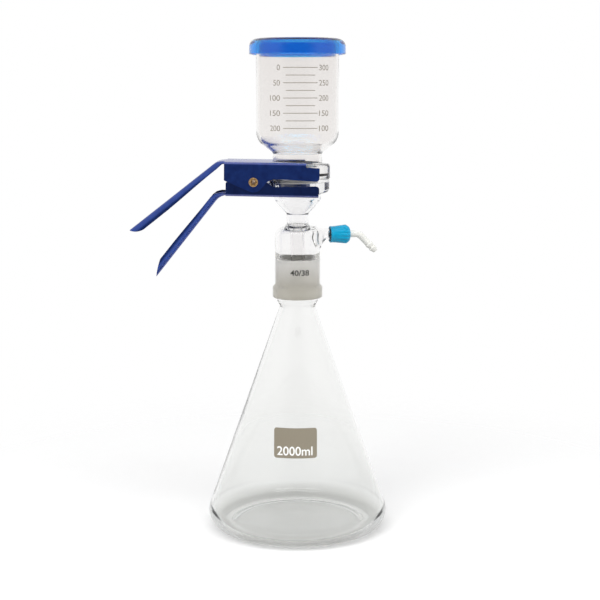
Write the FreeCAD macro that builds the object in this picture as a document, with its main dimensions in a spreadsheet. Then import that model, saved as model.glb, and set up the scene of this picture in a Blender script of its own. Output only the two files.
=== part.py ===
import FreeCAD, Part
import math
import os

import Sketcher
from FreeCAD import Placement, Rotation, Vector

# A vacuum filtration unit for a biology bench.  A conical flask carries a glass
# receiver head on a ground joint.  A funnel stands on the head's flat flange,
# with a sintered disc between them, and a spring clamp holds the two flanges
# together.  A hose barb under a screw cap leads the vacuum out of the head's
# side arm.  Lengths are in millimetres, +Z is up, and the origin is the middle
# of the flask's foot.  The clamp's handles point to -X, the side arm to +X.

doc = FreeCAD.newDocument("vacuum_filtration_unit")


# ---------------------------------------------------------------- dimensions

SIZES = (
    # conical flask
    ("flask_diameter", 177.4, "widest part of the flask"),
    ("flask_slope", 19.4, "degrees between the flask's side and its axis"),
    ("flask_wall", 2.4, "glass of the flask's side"),
    ("flask_floor", 3.2, "glass of the flask's floor"),
    ("foot_round", 16, "outer radius where the side meets the floor"),
    ("foot_land", 6.7, "width of the flat ring the flask stands on"),
    ("foot_recess", 1.5, "rise of the floor inside that ring"),
    ("foot_ramp", 6, "width of that rise"),
    ("waist_diameter", 34.4, "narrowest part under the ground joint"),
    ("waist_length", 4.6, "from the waist to the full joint diameter"),
    ("joint_stand_off", 8.2, "from the waist to the end of the socket"),
    ("flask_bore", 31, "bore of the flask's ground cone"),
    ("foot_part", 24, "level where the flask's foot passes into its side"),
    ("side_part", 118, "level that divides the side"),
    ("neck_part", 10, "from the top of the side down to the waist"),
    # ground joint, conical, taper one in ten
    ("joint_diameter", 40, "large end of the ground joint"),
    ("joint_length", 38, "length of the ground joint"),
    ("joint_taper", 0.1, "diameter lost for each length"),
    ("joint_film", 0.02, "radial gap between the ground faces"),
    # receiver head
    ("chamber_diameter", 43.8, "outside of the head's body and socket"),
    ("chamber_height", 66.2, "from the socket's end to the shoulder's corner"),
    ("chamber_wall", 2.3, "glass of the head's body"),
    ("shoulder_rise", 5.3, "rise of the shoulder to the stem"),
    ("shoulder_round", 8, "outer radius of the shoulder"),
    ("shoulder_step", 1.38, "drop of the shoulder's inner corner from its outer one"),
    ("rim_diameter", 48.8, "bead round the socket's end"),
    ("rim_height", 10.6, "height of that bead"),
    ("rim_flare", 2.8, "slope from the bead to the socket's wall"),
    ("rim_round", 1.6, "edge of the bead"),
    ("stem_diameter", 21, "stem between the body and the bowl"),
    ("stem_height", 10.5, "from the shoulder to the bowl"),
    ("stem_bore", 16, "bore of the stem"),
    ("drip_diameter", 13.9, "drip tube inside the body"),
    ("drip_bore", 10.4, "bore of the drip tube"),
    ("drip_end", 13, "the drip tube's end above the socket's end"),
    ("bowl_diameter", 45.4, "outside of the bowl under the flange"),
    ("bowl_bore", 37.2, "inside of the bowl"),
    ("bowl_cone", 13, "height of the bowl's conical part"),
    ("bowl_height", 7.3, "height of the bowl's straight part"),
    ("base_flange_diameter", 61.8, "flange of the head"),
    ("base_flange_height", 14.2, "height of that flange"),
    ("base_flange_round", 5, "underside of that flange"),
    ("land_round", 0.6, "edge of the ground flange faces"),
    # side arm
    ("arm_level", 61, "arm's axis above the socket's end"),
    ("arm_turn", 12, "degrees the arm is turned from +X"),
    ("arm_neck_diameter", 11.8, "glass neck of the arm"),
    ("arm_root_diameter", 17, "arm where it leaves the body"),
    ("arm_root_length", 6, "length of the arm's flare"),
    ("arm_thread_start", 33.5, "start of the thread from the main axis"),
    ("arm_length", 45.2, "glass end from the main axis"),
    ("arm_bore", 7, "bore of the arm"),
    ("thread_diameter", 13.9, "crests of the arm's thread"),
    # sintered disc
    ("frit_diameter", 40, "sintered glass disc"),
    ("frit_height", 4, "thickness of the disc"),
    ("frit_gap", 0.05, "radial gap round the disc"),
    # funnel
    ("funnel_height", 129.5, "flange face to rim"),
    ("funnel_diameter", 79.4, "outside of the funnel"),
    ("funnel_wall", 2.4, "glass of the funnel"),
    ("funnel_flange_diameter", 63, "flange of the funnel"),
    ("funnel_flange_height", 14, "height of that flange"),
    ("funnel_flange_round", 3, "upper edge of that flange"),
    ("funnel_mouth", 40, "opening over the disc"),
    ("neck_diameter", 47.6, "neck between the flange and the bowl"),
    ("neck_height", 10.4, "height of the neck"),
    ("neck_bore", 42.4, "bore of the neck"),
    ("mouth_land", 2.4, "height of the opening over the disc"),
    ("mouth_flare", 2.4, "slope from there to the neck's bore"),
    ("funnel_cone", 11.6, "rise of the funnel's floor to its side"),
    ("funnel_round", 16, "outer radius of the funnel's floor"),
    ("floor_step", 2.16, "rise of the floor's inner corners over its outer ones"),
    # lid
    ("lid_diameter", 92.2, "outside of the lid"),
    ("lid_thickness", 2.6, "top of the lid at its edge"),
    ("lid_dome", 1.0, "rise of the top towards its middle"),
    ("lid_skirt", 12.2, "skirt below the funnel's rim"),
    ("lid_wall_share", 0.47, "skirt's wall, of the lid's overhang past the funnel"),
    ("lid_round_share", 0.785, "upper edge's radius, of the most its corner can take"),
    ("plug_depth", 12.8, "plug below the funnel's rim"),
    ("plug_wall", 2.6, "wall of the plug"),
    ("plug_gap", 0.4, "radial gap between plug and funnel"),
    # clamp
    ("sheet", 1.5, "aluminium sheet of the clamp"),
    ("bend_round", 2.6, "outer radius of the folds"),
    ("pivot_reach", 41.5, "pivot from the main axis"),
    ("pivot_drop", 1.8, "pivot below the flange faces"),
    ("flange_play", 0.4, "gap between flange and lower walls"),
    ("lever_gap", 0.3, "gap between the levers' walls"),
    ("seat_gap", 0.3, "gap between webs and flanges"),
    ("slot_play", 0.8, "gap between slot and glass neck"),
    ("upper_tilt", 1, "degrees the upper lever leans to the glass"),
    ("lower_tilt", 1.2, "degrees the lower lever leans with it"),
    ("upper_wall_back", 27.8, "upper walls behind the pivot"),
    ("lower_wall_back", 26.2, "lower walls behind the pivot"),
    ("wall_front", 62.2, "walls ahead of the pivot"),
    ("upper_prong_reach", 8, "upper web's prongs past the main axis"),
    ("lower_prong_reach", 20.2, "lower web's prongs past the main axis"),
    ("upper_jaw_depth", 15.1, "upper wall below its web at the jaw"),
    ("upper_jaw_lean", 2, "more of it at the jaw's front end"),
    ("lower_jaw_depth", 9.5, "lower wall above its web at the jaw"),
    ("lower_jaw_lean", 1.5, "more of it at the jaw's front end"),
    ("nose_drop", 1.3, "walls ahead of the prongs, below the folds"),
    ("jaw_corner", 3, "rounded corner of each jaw"),
    ("back_notch", 2.8, "step at the back of each ear"),
    ("ear_radius", 9.6, "ear round the pivot"),
    ("ear_back", 25, "back end of the ear's slope"),
    ("ear_front", 12.5, "front end of the ear's curve"),
    ("ear_fade", 18.5, "where the ear meets the jaw"),
    ("handle_width", 23, "width of the handles"),
    ("strip_width", 40, "width where the handles leave the webs"),
    ("handle_round", 7, "folds of the handles' channels"),
    ("handle_lip", 0.2, "least height of a channel's rim under its web"),
    ("handle_fold", 0.15, "least inner radius of a channel's folds"),
    ("narrow_share", 0.36, "part of a handle over which it narrows"),
    ("deepen_share", 0.7, "part of a handle over which its channel deepens"),
    ("upper_strip_length", 2.4, "flat web behind the upper walls"),
    ("upper_bend_radius", 14, "bend of the upper handle"),
    ("upper_handle_slope", 38.9, "degrees below the upper web"),
    ("upper_handle_length", 104.8, "upper handle from its bend"),
    ("upper_bend_depth", 5.6, "upper channel at its bend"),
    ("upper_handle_depth", 7.8, "upper channel near its end"),
    ("upper_tip_length", 17, "length over which its rim comes up to its end"),
    ("upper_tip_bulge", 0.88, "how far it has come down half-way, of its depth"),
    ("lower_strip_length", -2, "flat web behind the lower walls; the bend starts between them"),
    ("lower_bend_radius", 15, "bend of the lower handle"),
    ("lower_handle_slope", 52.7, "degrees below the lower web"),
    ("lower_handle_length", 95.6, "lower handle from its bend"),
    ("lower_bend_depth", 6.4, "lower channel at its bend"),
    ("lower_handle_depth", 7.7, "lower channel near its end"),
    ("lower_tip_length", 17.6, "length over which its rim comes up to its end"),
    ("lower_tip_bulge", 0.58, "how far it has come down half-way, of its depth"),
    # pivot tube and spring
    ("tube_diameter", 6, "brass tube through the ears"),
    ("tube_bore", 4.2, "bore of the tube"),
    ("tube_fit", 0.06, "radial running gap in the ears"),
    ("head_gap", 0.2, "gap between a flared end and the ear"),
    ("head_diameter", 8.7, "flared ends of the tube"),
    ("head_height", 1.1, "height of a flared end"),
    ("head_round", 0.77, "edge of a flared end"),
    ("wire_diameter", 1.8, "spring wire"),
    ("coil_diameter", 11.2, "middle of the spring's coils"),
    ("coil_pitch", 2.1, "step between coils"),
    ("coil_turns", 6, "whole turns of the spring"),
    ("upper_leg_reach", 23, "where the upper leg presses"),
    ("lower_leg_reach", 22, "where the lower leg presses"),
    ("leg_gap", 0.1, "gap between a leg and the web it presses"),
    # hose connection
    ("cap_length", 19.4, "screw cap"),
    ("cap_small_diameter", 16.3, "screw cap at the glass"),
    ("cap_large_diameter", 18.6, "screw cap at its outer end"),
    ("cap_face_diameter", 14.6, "flat end of the screw cap"),
    ("cap_crown", 4.4, "length of the cap's rounded end"),
    ("cap_end", 2.4, "end wall of the screw cap"),
    ("cap_flutes", 15, "finger flutes of the cap"),
    ("flute_diameter", 1.7, "cutter that makes a flute"),
    ("flute_offset", 0.34, "that cutter's middle outside the cap's largest radius"),
    ("thread_gap", 0.08, "radial gap between cap and thread"),
    ("seal_height", 2, "washer on the glass end"),
    ("seal_bore", 6, "bore of the washer"),
    ("barb_diameter", 6.6, "stem of the hose barb"),
    ("barb_bore", 3.6, "bore of the hose barb"),
    ("barb_flange_height", 2, "flange of the barb inside the cap"),
    ("barb_fit", 0.08, "running gap of the barb in the cap"),
    ("barb_elbow", 61.4, "bend of the barb from the main axis"),
    ("barb_bend", 45, "degrees the barb turns down"),
    ("barb_bend_radius", 7, "middle radius of that bend"),
    ("barb_tail", 24.4, "from the bend's corner to the end"),
    ("ridge_diameter", 8, "ridges that grip the hose"),
    ("ridge_root_diameter", 5.8, "tail between the ridges"),
    ("ridge_pitch", 4.8, "step between ridges"),
    ("ridge_back", 1.5, "length of the first ridge's back slope"),
    ("ridge_dip", 1.2, "length of the front ridge's back slope"),
    ("front_ridge_diameter", 7.6, "ridge nearest the end"),
    ("barb_tip_diameter", 4.8, "end of the barb"),
)

# What follows from the sizes: the main levels and radii of the whole unit.
PLACES = (
    ("side_tan", "=tan(Sizes.flask_slope * 1deg)"),
    ("side_wall", "=Sizes.flask_wall / cos(Sizes.flask_slope * 1deg)"),
    ("foot_corner", "=Sizes.flask_diameter / 2 + Sizes.foot_round"
                    " * (side_tan + 1 / cos(Sizes.flask_slope * 1deg) - 1)"),
    ("foot_ring", "=Sizes.flask_diameter / 2 - Sizes.foot_round - Sizes.foot_land"),
    ("waist_level", "=(foot_corner - Sizes.waist_diameter / 2) / side_tan"),
    ("joint_level", "=waist_level + Sizes.joint_stand_off"),
    ("joint_top", "=joint_level + Sizes.joint_length"),
    ("joint_small", "=Sizes.joint_diameter / 2"
                    " - Sizes.joint_length * Sizes.joint_taper / 2"),
    ("shoulder_level", "=joint_level + Sizes.chamber_height"),
    ("stem_level", "=shoulder_level + Sizes.shoulder_rise"),
    ("bowl_level", "=stem_level + Sizes.stem_height"),
    ("bowl_side_level", "=bowl_level + Sizes.bowl_cone"),
    ("underside_level", "=bowl_side_level + Sizes.bowl_height"),
    ("face_level", "=underside_level + Sizes.base_flange_height"),
    ("seat_level", "=face_level + Sizes.funnel_flange_height"),
    ("floor_level", "=seat_level + Sizes.neck_height"),
    ("rim_level", "=face_level + Sizes.funnel_height"),
    ("lid_wall", "=Sizes.lid_wall_share * (Sizes.lid_diameter - Sizes.funnel_diameter)"
                 " / 2"),
    ("lid_round", "=Sizes.lid_round_share * (lid_wall + Sizes.lid_thickness"
                  " + sqrt(2 * lid_wall * Sizes.lid_thickness))"),
    ("arm_level", "=joint_level + Sizes.arm_level"),
    ("arm_wall", "=(Sizes.arm_neck_diameter - Sizes.arm_bore) / 2"),
    ("pivot_level", "=face_level - Sizes.pivot_drop"),
    ("lower_width", "=Sizes.funnel_flange_diameter"
                    " + 2 * Sizes.flange_play + 2 * Sizes.sheet"),
    ("upper_width", "=lower_width + 2 * Sizes.lever_gap + 2 * Sizes.sheet"),
    ("upper_prongs", "=Sizes.pivot_reach + Sizes.upper_prong_reach"),
    ("lower_prongs", "=Sizes.pivot_reach + Sizes.lower_prong_reach"),
    ("upper_web", "=(seat_level + Sizes.seat_gap - pivot_level + upper_prongs"
                  " * sin(Sizes.upper_tilt * 1deg)) / cos(Sizes.upper_tilt * 1deg)"),
    ("lower_slot", "=Sizes.bowl_diameter / 2 + Sizes.slot_play"),
    ("upper_slot", "=Sizes.neck_diameter / 2 + Sizes.slot_play"),
    ("lower_web", "=(pivot_level - underside_level + Sizes.seat_gap"
                  " - (Sizes.pivot_reach - lower_slot) * sin(Sizes.lower_tilt * 1deg))"
                  " / cos(Sizes.lower_tilt * 1deg)"),
    ("seal_end", "=Sizes.arm_length + Sizes.seal_height"),
    ("cap_inside", "=seal_end + Sizes.barb_flange_height + 2 * Sizes.barb_fit"),
    ("cap_face", "=cap_inside + Sizes.cap_end"),
    ("cap_back", "=cap_face - Sizes.cap_length"),
)


def sheet_of(name, rows):
    """A spreadsheet with one named cell for each row."""
    sheet = doc.addObject("Spreadsheet::Sheet", name)
    for number, row in enumerate(rows, start=1):
        cell = "B%d" % number
        sheet.set("A%d" % number, row[0])
        sheet.set(cell, str(row[1]))
        sheet.setAlias(cell, row[0])
        if len(row) > 2:
            sheet.set("C%d" % number, row[2])
    return sheet


sizes = sheet_of("Sizes", SIZES)
places = sheet_of("Places", PLACES)
doc.recompute()

gauge = doc.addObject("App::FeaturePython", "Gauge")
gauge.addProperty("App::PropertyFloat", "Reading")


def worth(expression):
    """The present value of an expression of the sheets' cells."""
    gauge.setExpression("Reading", expression)
    gauge.recompute()
    return gauge.Reading


# ------------------------------------------------------------- common makers

# Two places closer than this are the same place.
TOUCH = 0.01


def origin_plane(body, role):
    """One of a body's own base planes."""
    for feature in body.Origin.OriginFeatures:
        if feature.Role == role:
            return feature


def sketch_on(body, name, role):
    """An empty sketch on one of a body's base planes."""
    sketch = body.newObject("Sketcher::SketchObject", name)
    sketch.AttachmentSupport = (origin_plane(body, role), [""])
    sketch.MapMode = "FlatFace"
    return sketch


def hold(sketch, kind, geometry, end, expression):
    """Ties one point of a sketch to an expression, across or up."""
    value = worth(expression)
    index = sketch.addConstraint(
        Sketcher.Constraint(kind, -1, 1, geometry, end, value))
    sketch.setExpression("Constraints[%d]" % index, expression)


def draw_outline(sketch, corners):
    """A closed outline of straight lines, each corner tied to the sheets."""
    points = [Vector(worth(across), worth(up), 0) for across, up in corners]
    count = len(points)
    for here in range(count):
        line = Part.LineSegment(points[here], points[(here + 1) % count])
        sketch.addGeometry(line, False)
    for here in range(count):
        sketch.addConstraint(
            Sketcher.Constraint("Coincident", here, 2, (here + 1) % count, 1))
    for here, (across, up) in enumerate(corners):
        hold(sketch, "DistanceX", here, 1, across)
        hold(sketch, "DistanceY", here, 1, up)


def draw_circle(sketch, across, up, radius):
    """A circle whose centre and radius are tied to the sheets."""
    centre = Vector(worth(across), worth(up), 0)
    number = sketch.addGeometry(Part.Circle(centre, Vector(0, 0, 1), worth(radius)))
    hold(sketch, "DistanceX", number, 3, across)
    hold(sketch, "DistanceY", number, 3, up)
    index = sketch.addConstraint(Sketcher.Constraint("Radius", number, worth(radius)))
    sketch.setExpression("Constraints[%d]" % index, radius)


def round_rings(body, name, radius, rings):
    """Rounds the circular edges that pass through the given corners."""
    base = body.Tip
    wanted = [(worth(across), worth(up)) for across, up in rings]
    edges = []
    for number, edge in enumerate(base.Shape.Edges, start=1):
        if not isinstance(edge.Curve, Part.Circle):
            continue
        for across, up in wanted:
            close = abs(edge.Curve.Radius - across) < TOUCH
            if close and abs(edge.Curve.Center.z - up) < TOUCH:
                edges.append("Edge%d" % number)
    fillet = body.newObject("PartDesign::Fillet", name)
    fillet.Base = (base, edges)
    fillet.setExpression("Radius", radius)
    doc.recompute()
    return fillet


def turned(name, corners, rounds=()):
    """A body turned about Z from one closed half-section, then rounded."""
    body = doc.addObject("PartDesign::Body", name)
    sketch = sketch_on(body, name + "_section", "XZ_Plane")
    draw_outline(sketch, corners)
    turn = body.newObject("PartDesign::Revolution", name + "_turn")
    turn.Profile = sketch
    turn.ReferenceAxis = (sketch, ["V_Axis"])
    turn.Angle = 360
    doc.recompute()
    for number, (radius, rings) in enumerate(rounds):
        round_rings(body, "%s_round_%d" % (name, number), radius, rings)
    return body


def ring_of(name, whole, low, high):
    """The stretch of a turned glass between two levels, as a node of its own."""
    span = doc.addObject("Part::Cylinder", name + "_span")
    span.setExpression("Radius", "2 * Sizes.flask_diameter")
    span.setExpression("Placement.Base.z", low)
    span.setExpression("Height", "%s - (%s)" % (high, low))
    ring = doc.addObject("Part::Common", name)
    ring.Base = whole
    ring.Tool = span
    return ring


def size(alias):
    """The present value of one driving dimension."""
    return float(sizes.get(alias))


def place(alias):
    """The present value of one worked-out level or radius."""
    return float(places.get(alias))


# --------------------------------------------------------------------- flask

# Blown borosilicate glass, one piece from its foot to its ground cone.
outer_foot = ("Places.foot_corner", "0")
inner_foot = (
    "Places.foot_corner - Places.side_wall"
    " - (Sizes.foot_recess + Sizes.flask_floor) * Places.side_tan",
    "Sizes.foot_recess + Sizes.flask_floor")
outer_waist = ("Sizes.waist_diameter / 2", "Places.waist_level")
cone_foot = ("Sizes.joint_diameter / 2 - Sizes.joint_film",
             "Places.waist_level + Sizes.waist_length")
flask_glass = turned("flask_glass", [
    ("0", "Sizes.foot_recess"),
    ("Places.foot_ring - Sizes.foot_ramp", "Sizes.foot_recess"),
    ("Places.foot_ring", "0"),
    outer_foot,
    outer_waist,
    cone_foot,
    ("Sizes.joint_diameter / 2 - Sizes.joint_film", "Places.joint_level"),
    ("Places.joint_small - Sizes.joint_film", "Places.joint_top"),
    ("Sizes.flask_bore / 2", "Places.joint_top"),
    ("Sizes.flask_bore / 2", "Places.waist_level + Sizes.waist_length"),
    ("Sizes.waist_diameter / 2 - Places.side_wall", "Places.waist_level"),
    inner_foot,
    ("0", "Sizes.foot_recess + Sizes.flask_floor"),
], [
    ("Sizes.foot_round", [outer_foot]),
    ("Sizes.foot_round - Sizes.flask_wall", [inner_foot]),
    ("Sizes.waist_length / 2", [outer_waist, cone_foot]),
])

# It is one piece of glass, divided here into plain rings that stand end to end:
# the foot with its floor, two stretches of the side, and the neck.
neck_start = "Places.waist_level - Sizes.neck_part"
flask_foot = ring_of("flask_foot", flask_glass, "0", "Sizes.foot_part")
flask_lower_side = ring_of(
    "flask_lower_side", flask_glass, "Sizes.foot_part", "Sizes.side_part")
flask_upper_side = ring_of("flask_upper_side", flask_glass, "Sizes.side_part", neck_start)
flask_neck = ring_of("flask_neck", flask_glass, neck_start, "Places.joint_top")


# ------------------------------------------------------------- receiver head

# One fused piece of glass: the flange that carries the disc, the bowl under
# it, the stem with its drip tube, the body, the side arm and the socket.
chamber_corner = ("Sizes.chamber_diameter / 2", "Places.shoulder_level")
inner_shoulder = ("Sizes.chamber_diameter / 2 - Sizes.chamber_wall",
                  "Places.shoulder_level - Sizes.shoulder_step")
shoulder_root = ("Sizes.stem_diameter / 2", "Places.stem_level")
bowl_corner = ("Sizes.bowl_diameter / 2", "Places.bowl_side_level")
bowl_root = ("Sizes.stem_diameter / 2", "Places.bowl_level")
flange_root = ("Sizes.bowl_diameter / 2", "Places.underside_level")
flange_low = ("Sizes.base_flange_diameter / 2", "Places.underside_level")
flange_top = ("Sizes.base_flange_diameter / 2", "Places.face_level")
rim_low = ("Sizes.rim_diameter / 2", "Places.joint_level")
rim_high = ("Sizes.rim_diameter / 2", "Places.joint_level + Sizes.rim_height")
inner_bowl = ("Sizes.bowl_bore / 2", "Places.bowl_side_level + Sizes.chamber_wall")
head_glass = turned("head_glass", [
    ("Sizes.frit_diameter / 2 + Sizes.frit_gap", "Places.face_level"),
    ("Sizes.frit_diameter / 2 + Sizes.frit_gap",
     "Places.face_level - Sizes.frit_height"),
    ("Sizes.bowl_bore / 2", "Places.face_level - Sizes.frit_height"),
    inner_bowl,
    ("Sizes.stem_bore / 2", "Places.bowl_level + Sizes.chamber_wall"),
    ("Sizes.stem_bore / 2",
     "Places.stem_level + Sizes.chamber_wall + Sizes.stem_bore / 2"
     " - Sizes.drip_bore / 2"),
    ("Sizes.drip_bore / 2", "Places.stem_level + Sizes.chamber_wall"),
    ("Sizes.drip_bore / 2", "Places.joint_level + Sizes.drip_end"),
    ("Sizes.drip_diameter / 2", "Places.joint_level + Sizes.drip_end"),
    ("Sizes.drip_diameter / 2", "Places.stem_level - Sizes.chamber_wall"),
    inner_shoulder,
    ("Sizes.chamber_diameter / 2 - Sizes.chamber_wall",
     "Places.joint_top + Sizes.chamber_wall"),
    ("Places.joint_small", "Places.joint_top"),
    ("Sizes.joint_diameter / 2", "Places.joint_level"),
    rim_low,
    rim_high,
    ("Sizes.chamber_diameter / 2",
     "Places.joint_level + Sizes.rim_height + Sizes.rim_flare"),
    chamber_corner,
    shoulder_root,
    bowl_root,
    bowl_corner,
    flange_root,
    flange_low,
    flange_top,
], [
    ("Sizes.shoulder_round", [chamber_corner]),
    ("Sizes.shoulder_round - Sizes.chamber_wall", [inner_shoulder]),
    ("Sizes.base_flange_round", [flange_low]),
    ("Sizes.chamber_wall", [shoulder_root, bowl_root, inner_bowl, bowl_corner]),
    ("Sizes.rim_round", [rim_low, rim_high]),
    ("Sizes.land_round", [flange_top, flange_root]),
])

arm_root = ("Sizes.arm_neck_diameter / 2",
            "Sizes.chamber_diameter / 2 + Sizes.arm_root_length")
arm_end = ("Sizes.thread_diameter / 2", "Sizes.arm_length")
arm_glass = turned("arm_glass", [
    ("0", "0"),
    ("Sizes.arm_root_diameter / 2", "0"),
    ("Sizes.arm_root_diameter / 2", "Sizes.chamber_diameter / 2"),
    arm_root,
    ("Sizes.arm_neck_diameter / 2", "Sizes.arm_thread_start"),
    ("Sizes.thread_diameter / 2",
     "Sizes.arm_thread_start + Sizes.thread_diameter / 2 - Sizes.arm_neck_diameter / 2"),
    arm_end,
    ("0", "Sizes.arm_length"),
], [
    ("Sizes.arm_root_length", [arm_root]),
    ("Sizes.land_round", [arm_end]),
])


def arm_placement():
    """From a piece turned about Z to its place on the side arm's axis."""
    lay_down = Rotation(Vector(0, 1, 0), 90)
    swing = Rotation(Vector(0, 0, 1), size("arm_turn"))
    return Placement(Vector(0, 0, place("arm_level")), swing.multiply(lay_down))


arm_glass.Placement = arm_placement()

# the arm ends halfway through the body's wall, under the shoulder as well
core_corner = ("Sizes.chamber_diameter / 2 - Sizes.chamber_wall / 2",
               "Places.shoulder_level - Sizes.shoulder_step / 2")
chamber_space = turned("chamber_space", [
    ("0", "Places.joint_level"),
    ("Sizes.chamber_diameter / 2 - Sizes.chamber_wall / 2", "Places.joint_level"),
    core_corner,
    ("Sizes.stem_diameter / 2 - Sizes.chamber_wall / 2",
     "Places.stem_level - Sizes.chamber_wall / 2"),
    ("0", "Places.stem_level - Sizes.chamber_wall / 2"),
], [
    ("Sizes.shoulder_round - Sizes.chamber_wall / 2", [core_corner]),
])

arm_shell = doc.addObject("Part::Cut", "arm_shell")
arm_shell.Base = arm_glass
arm_shell.Tool = chamber_space

# the bore flares with the arm's root, so the glass stays as thick there
bore_root = "Sizes.arm_root_diameter / 2 - Places.arm_wall"
bore_neck = ("Sizes.arm_bore / 2", "Sizes.chamber_diameter / 2 + Sizes.arm_root_length")
arm_bore = turned("arm_bore", [
    ("0", "Sizes.drip_diameter"),
    (bore_root, "Sizes.drip_diameter"),
    (bore_root, "Sizes.chamber_diameter / 2"),
    bore_neck,
    ("Sizes.arm_bore / 2", "2 * Sizes.arm_length"),
    ("0", "2 * Sizes.arm_length"),
], [
    ("Sizes.arm_root_length + Places.arm_wall", [bore_neck]),
])
arm_bore.Placement = arm_placement()

head_with_arm = doc.addObject("Part::Fuse", "head_with_arm")
head_with_arm.Base = head_glass
head_with_arm.Tool = arm_shell

whole_head = doc.addObject("Part::Cut", "whole_head")
whole_head.Base = head_with_arm
whole_head.Tool = arm_bore

# The head is one piece of glass too, divided in the same way: the body with its
# arm and socket, the drip tube inside it, and the bowl above.
tube_end = "Places.joint_level + Sizes.drip_end"
tube_top = "Places.stem_level - Sizes.chamber_wall"
tube_core = doc.addObject("Part::Cylinder", "tube_core")
tube_core.setExpression("Radius", "Sizes.drip_diameter / 2")
tube_core.setExpression("Placement.Base.z", tube_end)
tube_core.setExpression("Height", "%s - (%s)" % (tube_top, tube_end))
drip_tube = doc.addObject("Part::Common", "drip_tube")
drip_tube.Base = whole_head
drip_tube.Tool = tube_core
head_shell = doc.addObject("Part::Cut", "head_shell")
head_shell.Base = whole_head
head_shell.Tool = tube_core
receiver_head = ring_of(
    "receiver_head", head_shell, "Places.joint_level", "Places.stem_level")
head_bowl = ring_of("head_bowl", head_shell, "Places.stem_level", "Places.face_level")


# ------------------------------------------------------------- sintered disc

# Fused glass grains, level with the flange's ground face.
frit_disc = turned("frit_disc", [
    ("0", "Places.face_level - Sizes.frit_height"),
    ("Sizes.frit_diameter / 2", "Places.face_level - Sizes.frit_height"),
    ("Sizes.frit_diameter / 2", "Places.face_level"),
    ("0", "Places.face_level"),
])


# -------------------------------------------------------------------- funnel

# Graduated glass funnel with a thick ground flange.
funnel_corner = ("Sizes.funnel_diameter / 2", "Places.floor_level + Sizes.funnel_cone")
funnel_inner = ("Sizes.funnel_diameter / 2 - Sizes.funnel_wall",
                "Places.floor_level + Sizes.funnel_cone + Sizes.floor_step")
funnel_lip = ("Sizes.funnel_flange_diameter / 2", "Places.seat_level")
funnel_neck = ("Sizes.neck_diameter / 2", "Places.seat_level")
funnel_foot = ("Sizes.funnel_flange_diameter / 2", "Places.face_level")
funnel_rim_out = ("Sizes.funnel_diameter / 2", "Places.rim_level")
funnel_rim_in = ("Sizes.funnel_diameter / 2 - Sizes.funnel_wall", "Places.rim_level")
funnel_throat = ("Sizes.neck_bore / 2", "Places.floor_level + Sizes.floor_step")
neck_top = ("Sizes.neck_diameter / 2", "Places.floor_level")
funnel = turned("funnel", [
    ("Sizes.funnel_mouth / 2", "Places.face_level"),
    funnel_foot,
    funnel_lip,
    funnel_neck,
    neck_top,
    funnel_corner,
    funnel_rim_out,
    funnel_rim_in,
    funnel_inner,
    funnel_throat,
    ("Sizes.neck_bore / 2",
     "Places.face_level + Sizes.mouth_land + Sizes.mouth_flare"),
    ("Sizes.funnel_mouth / 2", "Places.face_level + Sizes.mouth_land"),
], [
    ("Sizes.funnel_round", [funnel_corner]),
    ("Sizes.funnel_round - Sizes.funnel_wall", [funnel_inner]),
    ("Sizes.funnel_flange_round", [funnel_lip]),
    ("Sizes.funnel_wall", [neck_top]),
    ("Sizes.funnel_wall / 2", [funnel_neck, funnel_throat]),
    ("Sizes.funnel_wall / 4", [funnel_rim_out, funnel_rim_in]),
    ("Sizes.land_round", [funnel_foot]),
])


# ----------------------------------------------------------------------- lid

# Moulded in one piece: a domed top, a skirt outside the funnel's rim and a
# plug inside it.
lid_edge = ("Sizes.lid_diameter / 2", "Places.rim_level + Sizes.lid_thickness")
lid_inside = ("Sizes.lid_diameter / 2 - Places.lid_wall", "Places.rim_level")
plug_out = ("Sizes.funnel_diameter / 2 - Sizes.funnel_wall - Sizes.plug_gap",
            "Places.rim_level - Sizes.plug_depth")
plug_in = ("Sizes.funnel_diameter / 2 - Sizes.funnel_wall - Sizes.plug_gap"
           " - Sizes.plug_wall", "Places.rim_level - Sizes.plug_depth")
skirt_out = ("Sizes.lid_diameter / 2", "Places.rim_level - Sizes.lid_skirt")
skirt_in = ("Sizes.lid_diameter / 2 - Places.lid_wall",
            "Places.rim_level - Sizes.lid_skirt")
lid = turned("lid", [
    ("0", "Places.rim_level"),
    ("Sizes.funnel_diameter / 2 - Sizes.funnel_wall - Sizes.plug_gap"
     " - Sizes.plug_wall", "Places.rim_level"),
    plug_in,
    plug_out,
    ("Sizes.funnel_diameter / 2 - Sizes.funnel_wall - Sizes.plug_gap",
     "Places.rim_level"),
    lid_inside,
    skirt_in,
    skirt_out,
    lid_edge,
    ("0", "Places.rim_level + Sizes.lid_thickness + Sizes.lid_dome"),
], [
    ("Places.lid_round", [lid_edge]),
    ("Places.lid_wall / 2", [lid_inside]),
    ("Places.lid_wall / 3", [skirt_out, skirt_in]),
    ("Sizes.plug_wall / 3", [plug_out, plug_in]),
])


# --------------------------------------------------------------- clamp levers

# Two stampings of blue aluminium sheet.  Each is a channel: a web with a fork
# round the glass, two walls with the pivot's ears, and a handle behind.
# Each is drawn about its pivot, the web above for the upper lever, and the
# lower lever is the same drawing turned over.

def along_edges(shape, test):
    """Names of the straight edges that run along X and pass a test."""
    names = []
    for number, edge in enumerate(shape.Edges, start=1):
        box = edge.BoundBox
        if box.YLength < TOUCH and box.ZLength < TOUCH and test(box):
            names.append("Edge%d" % number)
    return names


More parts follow.
